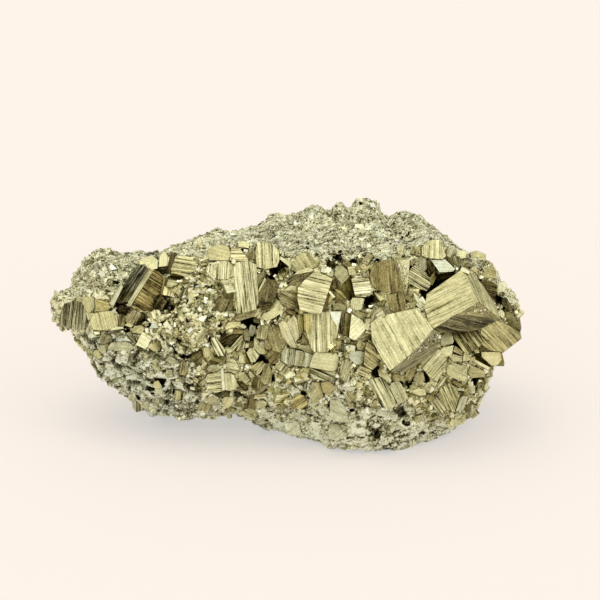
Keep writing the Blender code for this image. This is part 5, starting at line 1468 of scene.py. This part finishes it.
# %% Finish of grooved faces, of broken ore and of grains
def grooved_faces(name, groove_share):
    """Striated metal of the crystals."""
    material, tree, shader, place = new_material(name)
    grooves = group_node(tree, groove_group, Lines=attribute_node(tree, "lines").outputs["Vector"],
                         Pitch=0.20)
    brightness, warmth, clearness = split_attribute(tree, "tone")
    # Painted light and shade along the grooves, then painted shade in corners.
    streaks = math_node(tree, "MULTIPLY", grooves["Streak"],
                        math_node(tree, "ADD", math_node(tree, "MULTIPLY", clearness, groove_share), 0.05))
    bright = with_painted_shade(tree, math_node(tree, "ADD", brightness, streaks), 0.0010, 0.72)
    colour = group_node(tree, colour_group, Brightness=bright, Warmth=warmth, Mottle=0.24, Place=place)
    tree.links.new(colour["Color"], shader.inputs["Base Color"])
    tree.links.new(ranged(tree, colour["Tarnish"], 0.0, 1.0, 0.34, 0.50), shader.inputs["Roughness"])
    bump_node(tree, shader, grooves["Height"], 0.00008, 0.8)
    return material


def broken_ore():
    """Granular metal of the mass between the crystals."""
    material, tree, shader, place = new_material("broken_ore")
    recess_shade, light, grey = (attribute_node(tree, name).outputs["Fac"] for name in ("recess_shade", "light", "grey"))
    grit = noise_node(tree, place, 2300.0, 3.0, 0.7)
    crack_lines = noise_node(tree, place, 900.0, 4.0, 0.65)
    # Painted shade: the low points of the chips are darker.
    bright = math_node(tree, "ADD", ranged(tree, recess_shade, 0.1, 0.9, 0.98, 0.74),
                       ranged(tree, grit, 0.34, 0.66, -0.60, 0.60))
    bright = math_node(tree, "ADD", bright, attribute_node(tree, "chip tone").outputs["Fac"])
    grooves = group_node(tree, groove_group, Lines=attribute_node(tree, "lines").outputs["Vector"],
                         Pitch=0.30)
    # Painted light and shade along the streaks of the chips.
    bright = math_node(tree, "ADD", bright, math_node(tree, "MULTIPLY", grooves["Streak"], 0.24))
    # Thin dark lines of painted shade in cracks.
    crack_line = math_node(tree, "ABSOLUTE", math_node(tree, "SUBTRACT", crack_lines, 0.5))
    bright = math_node(tree, "SUBTRACT", bright, ranged(tree, crack_line, 0.0, 0.020, 0.60, 0.0))
    # Painted shade of the gaps, cracks and pits, the zones' own tones, and painted shade in corners.
    bright = with_painted_shade(tree, math_node(tree, "MULTIPLY", bright, light), 0.0010, 0.66)
    colour = group_node(tree, colour_group, Brightness=bright, Mottle=0.30, Place=place,
                        Warmth=ranged(tree, grey, 0.0, 1.0, 0.1, -0.7))
    tree.links.new(colour["Color"], shader.inputs["Base Color"])
    tree.links.new(ranged(tree, grit, 0.3, 0.7, 0.36, 0.60), shader.inputs["Roughness"])
    bump_node(tree, shader, grit, 0.00025, 0.9)
    return material


def loose_grains(name, mottle, rough):
    """Metal of strewn grains and chips, toned one by one."""
    material, tree, shader, place = new_material(name)
    brightness, warmth = split_attribute(tree, "tone")[:2]
    grit = noise_node(tree, place, 2800.0, 2.0, 0.6)
    # Painted shade in corners and gaps.
    colour = group_node(tree, colour_group, Brightness=with_painted_shade(tree, brightness, 0.0008, 0.66),
                        Warmth=warmth, Mottle=mottle, Place=place)
    tree.links.new(colour["Color"], shader.inputs["Base Color"])
    tree.links.new(ranged(tree, colour["Tarnish"], 0.0, 1.0, rough, rough + 0.2),
                   shader.inputs["Roughness"])
    bump_node(tree, shader, grit, 0.00012, 0.7)
    return material


front_crystals.data.materials.append(grooved_faces("grooved_faces", 1.0))
back_crystals.data.materials.append(front_crystals.data.materials[0])
massive_ore.data.materials.append(broken_ore())
small_finish = grooved_faces("small_grooved_faces", 1.0)
grain_finish = loose_grains("bright_grains", 0.25, 0.30)
chip_finish = loose_grains("broken_chips", 0.45, 0.40)
print("finishes:", [material.name for material in bpy.data.materials])

# %% [markdown]
# ## Small crystals, grains and chips
#
# Between the large crystals the ore is crusted with thousands of small ones. They repeat and they
# follow a surface, which is what Geometry Nodes are for: points are strewn over the ore where a
# growth value allows, each gets a block with random sides, turn and tone, and the result is made
# real. The blocks are simple, because there are so many of them.


# %% Geometry Nodes tree that strews blocks over a surface
def strewing_tree():
    """Tree with named inputs: where to strew, how densely, how large, how tilted and how toned."""
    numbers = (("Spacing", 0.001), ("Density", 1.0e6), ("Smallest", 0.0005), ("Largest", 0.001),
               ("Flattest", 0.6), ("Thickness", 1.0), ("Raise", 0.0), ("Tilt", 0.5), ("Darkest", 0.3),
               ("Palest", 1.0), ("Coolest", -0.5), ("Warmest", 0.5), ("Lines", 0.2))
    inputs = (("Surface", "NodeSocketGeometry", None), ("Growth", "NodeSocketString", "growth"),
              *((name, "NodeSocketFloat", value) for name, value in numbers),
              ("Kinds", "NodeSocketCollection", None), ("Seed", "NodeSocketInt", 1),
              ("Finish", "NodeSocketMaterial", None))
    tree, start, result = new_group("strew crystals", inputs, (("Crystals", "NodeSocketGeometry"),),
                                    "GeometryNodeTree")
    node, link, given = tree.nodes.new, tree.links.new, start.outputs

    def dice(low, high, kind, shift):
        """Random value with its own seed."""
        made = node("FunctionNodeRandomValue")
        made.data_type = kind
        ends = [s for s in made.inputs if s.enabled and s.name in ("Min", "Max")]
        for socket, value in zip(ends, (low, high)):
            feed(tree, socket, value)
        link(math_node(tree, "ADD", given["Seed"], shift), made.inputs["Seed"])
        return next(s for s in made.outputs if s.enabled)

    def vector(x, y, z):
        """Vector of three numbers or sockets."""
        made = node("ShaderNodeCombineXYZ")
        for socket, value in zip(made.inputs, (x, y, z)):
            feed(tree, socket, value)
        return made.outputs[0]

    def scaled(value, factor):
        """Vector times a number."""
        made = node("ShaderNodeVectorMath")
        made.operation = "SCALE"
        feed(tree, made.inputs[0], value)
        feed(tree, made.inputs["Scale"], factor)
        return made.outputs[0]

    where = node("GeometryNodeInputNamedAttribute")
    where.data_type = "FLOAT"
    link(given["Growth"], where.inputs["Name"])
    strew = node("GeometryNodeDistributePointsOnFaces")
    strew.distribute_method = "POISSON"
    link(given["Surface"], strew.inputs["Mesh"])
    link(given["Spacing"], strew.inputs["Distance Min"])
    link(given["Density"], strew.inputs["Density Max"])
    link(where.outputs["Attribute"], strew.inputs["Density Factor"])
    link(given["Seed"], strew.inputs["Seed"])
    raised = node("GeometryNodeSetPosition")
    link(strew.outputs["Points"], raised.inputs["Geometry"])
    link(scaled(strew.outputs["Normal"], given["Raise"]), raised.inputs["Offset"])
    kinds = node("GeometryNodeCollectionInfo")
    kinds.inputs["Separate Children"].default_value = True
    kinds.inputs["Reset Children"].default_value = True
    link(given["Kinds"], kinds.inputs["Collection"])
    grow = node("GeometryNodeInstanceOnPoints")
    link(raised.outputs[0], grow.inputs["Points"])
    link(kinds.outputs[0], grow.inputs["Instance"])
    grow.inputs["Pick Instance"].default_value = True
    lean = math_node(tree, "MULTIPLY", given["Tilt"], -1.0)
    euler = node("FunctionNodeEulerToRotation")
    link(dice(vector(lean, lean, 0.0), vector(given["Tilt"], given["Tilt"], 2 * math.pi),
              "FLOAT_VECTOR", 1), euler.inputs[0])
    turn = node("FunctionNodeRotateRotation")
    turn.rotation_space = "LOCAL"
    link(strew.outputs["Rotation"], turn.inputs[0])
    link(euler.outputs[0], turn.inputs[1])
    link(turn.outputs[0], grow.inputs["Rotation"])
    chance = math_node(tree, "POWER", dice(0.0, 1.0, "FLOAT", 2), 1.8)
    size = ranged(tree, chance, 0.0, 1.0, given["Smallest"], given["Largest"])
    sides = dice(vector(given["Flattest"], given["Flattest"], given["Flattest"]), (1.0, 1.0, 1.0),
                 "FLOAT_VECTOR", 3)
    flat = node("ShaderNodeVectorMath")
    flat.operation = "MULTIPLY"
    link(sides, flat.inputs[0])
    link(vector(1.0, 1.0, given["Thickness"]), flat.inputs[1])
    link(scaled(flat.outputs[0], size), grow.inputs["Scale"])
    store = node("GeometryNodeStoreNamedAttribute")
    store.data_type = "FLOAT_VECTOR"
    store.domain = "INSTANCE"
    store.inputs["Name"].default_value = "tone"
    link(grow.outputs[0], store.inputs["Geometry"])
    link(vector(dice(given["Darkest"], given["Palest"], "FLOAT", 4),
                dice(given["Coolest"], given["Warmest"], "FLOAT", 5), given["Lines"]),
         next(s for s in store.inputs if s.name == "Value" and s.enabled))
    real = node("GeometryNodeRealizeInstances")
    link(store.outputs[0], real.inputs[0])
    finish = node("GeometryNodeSetMaterial")
    link(real.outputs[0], finish.inputs["Geometry"])
    link(given["Finish"], finish.inputs["Material"])
    link(finish.outputs[0], result.inputs[0])
    return tree


# %% Kinds of small crystal and chip
def hull_kind(name, collection, corners):
    """Small convex block from its corners."""
    block = bmesh.new()
    for corner in corners:
        block.verts.new(corner)
    hull = bmesh.ops.convex_hull(block, input=block.verts)
    inner = [part for part in hull["geom_interior"] if isinstance(part, bmesh.types.BMVert)]
    bmesh.ops.delete(block, geom=inner, context="VERTS")
    bmesh.ops.dissolve_limit(block, angle_limit=0.02, verts=block.verts, edges=block.edges)
    bmesh.ops.recalc_face_normals(block, faces=block.faces)
    mesh = bpy.data.meshes.new(name)
    block.to_mesh(mesh)
    block.free()
    collection.objects.link(bpy.data.objects.new(name, mesh))


KIND_INSET, KIND_PITCH, KIND_DEPTH = 0.02, 0.16, 0.09  # shares of the block's own width
KIND_SIZE = 2.4  # usual width in millimetres, for the coordinates of its finer grooves


def grooved_kind(name, collection, sides, dice):
    """Small block with a few grooves on its upper side and coordinates for finer ones."""
    length, height = sides
    upper = staircase(1.0, KIND_INSET, KIND_PITCH, KIND_DEPTH, dice)
    outline = [(place, 0.5 * height - low) for place, low in upper]
    outline += [(0.5 - KIND_INSET, -0.5 * height), (KIND_INSET - 0.5, -0.5 * height)]
    points = [(place, way * length, z) for way in (-0.5, 0.5) for place, z in outline]
    mark = [dice.random() for _ in range(len(points) + 1)][-1]
    lines = [(KIND_SIZE * x, KIND_SIZE * y, MARKS * mark) for x, y, _ in points]
    places, faces, lines = closed_piece(points, extruded(len(outline)), lines)
    mesh = bpy.data.meshes.new(name)
    mesh.from_pydata(places, [], faces)
    give_vectors(mesh, "lines", lines)
    collection.objects.link(bpy.data.objects.new(name, mesh))


CUBE = [Vector(corner) for corner in product((-0.5, 0.5), repeat=3)]
kind_dice = random.Random("kinds")
blocks = bpy.data.collections.new("grain kinds")
hull_kind("cube", blocks, CUBE)
hull_kind("wedge", blocks, [c for c in CUBE if c != Vector((0.5, 0.5, 0.5))]
          + [Vector((0.5, 0.5, 0.0)), Vector((0.5, 0.0, 0.5)), Vector((0.0, 0.5, 0.5))])
hull_kind("skew block", blocks, [Vector((c.x + 0.25 * c.y, c.y, c.z - 0.15 * c.x)) for c in CUBE])
hull_kind("tapered block", blocks, [Vector((c.x * (0.8 - 0.4 * c.z), c.y, c.z)) for c in CUBE])
splinters = bpy.data.collections.new("chip kinds")
for index in range(6):
    spread = [Vector([kind_dice.gauss(0.0, 1.0) for _ in range(3)]).normalized() for _ in range(10)]
    hull_kind(f"chip {index}", splinters, [Vector((0.5 * p.x, 0.5 * p.y, 0.5 * p.z)) for p in spread])
ribbed = bpy.data.collections.new("crystal kinds")
for index, sides in enumerate(((1.0, 0.9), (0.7, 0.8), (1.3, 0.8), (0.9, 0.6), (1.1, 1.1))):
    grooved_kind(f"ribbed {index}", ribbed, sides, kind_dice)


# %% Strew them
def strewn(name, surface, **sizes):
    """Plain object of what the tree strews over a surface."""
    host = bpy.data.objects.new(name + "_host", surface.data)
    bpy.context.scene.collection.objects.link(host)
    modifier = host.modifiers.new("strew", "NODES")
    modifier.node_group = strew
    identifiers = {item.name: item.identifier for item in strew.interface.items_tree
                   if item.item_type == "SOCKET" and item.in_out == "INPUT"}
    for socket, value in sizes.items():
        modifier[identifiers[socket]] = value
    bpy.context.view_layer.update()
    graph = bpy.context.evaluated_depsgraph_get()
    mesh = bpy.data.meshes.new_from_object(host.evaluated_get(graph))
    host.modifiers.clear()
    bpy.data.objects.remove(host)
    mesh.name = name
    return placed(name, mesh)


# Outlines of the places where fine grains lie on the faces or crust them.
DUST = (
    (22.6,18, 25.2,18.4, 29.4,21.4, 30.8,23.6, 29.8,24.8, 26.4,21.4, 23.2,18.8),
    (34.4,27.3, 38.6,26.9, 41,26.9, 38.4,29.8, 37.2,30.8, 36,28.9),
    (34.4,29.2, 36.4,29.4, 36.8,31, 35.4,33.6, 34.8,33.4, 35.6,31.2),
    (8.2,19.7, 10.4,20, 10.8,22.8, 9.2,22.6), (37.4,35.2, 40.4,34.8, 41.4,38, 38.6,39.8, 37,38),
    (21.6,36.4, 24.2,30.6, 24.8,31.2, 24.4,36.6, 22.8,38.6), (20.4,38.2, 27.4,38.8, 26.6,40.6, 21.4,40.4),
    (43.4,22, 46.6,25, 46.4,28, 44.6,30.8, 43.6,28.6, 45.2,25.6),
)
DUST_STEP = 0.5


def dust_sheet():
    """Open mesh of the places that carry dust, laid on the faces and the ore."""
    faces_tree = BVHTree.FromPolygons(front.points, front.faces)
    ore_tree = BVHTree.FromPolygons(ore_points.tolist(), ring_faces(ORE_STATIONS, ore_rings.shape[1]))
    points, faces = [], []
    for outline in DUST:
        corners = list(zip(outline[::2], outline[1::2]))
        columns = np.arange(min(outline[::2]), max(outline[::2]), DUST_STEP)
        rows = np.arange(min(outline[1::2]), max(outline[1::2]), DUST_STEP)
        index = {}
        for (i, x), (k, v) in product(enumerate(columns), enumerate(rows)):
            start = seen_place(x, v, FAR)
            hits = [tree.ray_cast(start, -TO_VIEWER)[0] for tree in (faces_tree, ore_tree)]
            hits = [hit for hit in hits if hit is not None]
            if hits and outside(np.array([x]), np.array([v]), corners)[0] < 0.0:
                index[i, k] = len(points)
                points.append(max(hits, key=lambda hit: hit.dot(TO_VIEWER)))
        for i, k in index:
            ring = [index.get(place) for place in ((i, k), (i + 1, k), (i + 1, k + 1), (i, k + 1))]
            if None not in ring:
                faces.append(ring)
    mesh = bpy.data.meshes.new("dust_sheet")
    mesh.from_pydata([tuple((p + CENTRE) * MM) for p in points], [], faces)
    give_attribute(mesh, "dust growth", np.ones(len(points)))
    return bpy.data.objects.new("dust_sheet", mesh)


strew = strewing_tree()
chipped = {"Kinds": splinters, "Finish": chip_finish}
dust_grains = strewn(
    "dust_grains", dust_sheet(), Growth="dust growth", Spacing=0.34 * MM, Density=2.0e7,
    Smallest=0.35 * MM, Largest=1.0 * MM, Flattest=0.5, Thickness=0.6, Tilt=1.2,
    Darkest=0.25, Palest=1.2, Coolest=-0.6, Warmest=0.1, Seed=13, **chipped)
small_crystals = strewn(
    "small_crystals", massive_ore, Growth="crystal growth", Spacing=1.15 * MM, Density=2.0e6,
    Smallest=1.1 * MM, Largest=2.8 * MM, Flattest=0.6, Tilt=0.8, Darkest=0.35, Palest=1.05,
    Coolest=-0.4, Warmest=0.5, Lines=0.3, Seed=3, Kinds=ribbed, Finish=small_finish)
coarse_grains = strewn(
    "coarse_grains", massive_ore, Growth="grain growth", Spacing=0.6 * MM, Density=3.0e6,
    Smallest=0.5 * MM, Largest=1.5 * MM, Flattest=0.4, Tilt=3.14, Darkest=0.35, Palest=1.5,
    Coolest=-0.5, Warmest=0.3, Seed=5, Kinds=blocks, Finish=grain_finish)
broken_chips = strewn(
    "broken_chips", massive_ore, Growth="chip growth", Spacing=0.75 * MM, Density=4.0e6,
    Smallest=0.9 * MM, Largest=3.2 * MM, Flattest=0.55, Thickness=0.35, Raise=-0.16 * MM, Tilt=0.4,
    Darkest=0.35, Palest=1.15, Coolest=-0.8, Warmest=0.2, Seed=9, **chipped)
fine_grains = strewn(
    "fine_grains", massive_ore, Growth="fine growth", Spacing=0.5 * MM, Density=6.0e6,
    Smallest=0.4 * MM, Largest=1.1 * MM, Flattest=0.5, Thickness=0.5, Raise=-0.06 * MM, Tilt=0.7,
    Darkest=0.15, Palest=1.15, Coolest=-0.6, Warmest=0.2, Seed=7, **chipped)

# %% [markdown]
# ## Table, light and camera
#
# The specimen stands on a plain pale surface in a soft studio. Metal shows only what it reflects,
# so the light comes from all round: an even dome towards the viewer, patches of lighter and darker
# dome elsewhere, and large soft boxes overhead. The surface glows a little itself, as an acrylic
# sheet lit from below does, which keeps the shadows light. The camera has a long lens and looks
# down at the viewing angle of the tables.

# %% Floor
SHEET_SIZE = 6.0
SHEET_GLOW = (0.47, 0.48, 0.49, 1.0)
SHEET_COLOUR = (0.452, 0.368, 0.294, 1.0)


def pale_floor():
    """Large matt sheet."""
    shape = bmesh.new()
    bmesh.ops.create_grid(shape, x_segments=1, y_segments=1, size=SHEET_SIZE)
    mesh = bpy.data.meshes.new("floor")
    shape.to_mesh(mesh)
    shape.free()
    material = bpy.data.materials.new("pale_floor")
    material.use_nodes = True
    shader = material.node_tree.nodes["Principled BSDF"]
    shader.inputs["Base Color"].default_value = SHEET_COLOUR
    shader.inputs["Roughness"].default_value = 1.0
    shader.inputs["Specular IOR Level"].default_value = 0.0
    shader.inputs["Emission Color"].default_value = SHEET_GLOW
    shader.inputs["Emission Strength"].default_value = 1.0
    mesh.materials.append(material)
    return placed("floor", mesh)


floor = pale_floor()


# %% Studio
def studio(patches, towards_viewer, boxes):
    """World of a patchy dome, even towards the viewer, with soft boxes.

    patches is the darkest and lightest dome, towards_viewer its strength there; a box is a
    direction, half angle, softness and strength.
    """
    world = bpy.data.worlds.new("studio")
    bpy.context.scene.world = world
    world.use_nodes = True
    tree = world.node_tree
    direction = tree.nodes.new("ShaderNodeTexCoord").outputs["Generated"]

    def cone(towards, half_angle, softness):
        """1 inside a cone of directions, 0 outside."""
        dot = tree.nodes.new("ShaderNodeVectorMath")
        dot.operation = "DOT_PRODUCT"
        dot.inputs[1].default_value = Vector(towards).normalized()
        tree.links.new(direction, dot.inputs[0])
        outer = math.cos(math.radians(half_angle + softness))
        inner = math.cos(math.radians(max(half_angle - softness, 0.0)))
        return ranged(tree, dot.outputs["Value"], outer, inner)

    total = ranged(tree, noise_node(tree, direction, 2.6, 2.0, 0.5), 0.38, 0.62, *patches)
    even = tree.nodes.new("ShaderNodeMix")
    for socket, value in zip(even.inputs[:1] + even.inputs[2:4],
                             (cone(TO_VIEWER, 50.0, 20.0), total, towards_viewer)):
        feed(tree, socket, value)
    total = even.outputs[0]
    for towards, half_angle, softness, strength in boxes:
        total = math_node(tree, "ADD", total,
                          math_node(tree, "MULTIPLY", cone(towards, half_angle, softness), strength))
    back = tree.nodes["Background"]
    tree.links.new(total, back.inputs["Strength"])
    back.inputs["Color"].default_value = (1.0, 0.99, 0.97, 1.0)


studio(patches=(0.58, 1.05), towards_viewer=1.20,
       boxes=(((-0.2, -0.1, 1.0), 24.0, 10.0, 1.2), ((0.9, -0.5, 0.8), 14.0, 6.0, 0.5),
              ((0.0, 1.0, 0.4), 30.0, 16.0, 0.2)))

# %% Camera
LENS = 600.0
FRAME_WIDTH = 120.0
AIM = seen_place(2.8, 30.2, 10.0) + CENTRE
lens = bpy.data.cameras.new("camera")
lens.lens = LENS
lens.sensor_width = 36.0
distance = FRAME_WIDTH / lens.sensor_width * LENS
camera = bpy.data.objects.new("camera", lens)
camera.location = (AIM + TO_VIEWER * distance) * MM
camera.rotation_euler = (-TO_VIEWER).to_track_quat("-Z", "Y").to_euler()
bpy.context.scene.collection.objects.link(camera)
bpy.context.scene.camera = camera
bpy.context.scene.view_settings.view_transform = "Standard"
print("camera is", round(distance), "mm away")

# %% [markdown]
# ## Joining the frame
# Every piece moves with the specimen's one body and stands for its one solid. The last step writes
# both boxes, so that the size can be compared.

# %% Ride, replace and finish
pieces = (massive_ore, front_crystals, back_crystals, small_crystals, coarse_grains, broken_chips,
          fine_grains, dust_grains)
for piece in pieces:
    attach(piece, "root")
    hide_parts("pyrite_cluster")
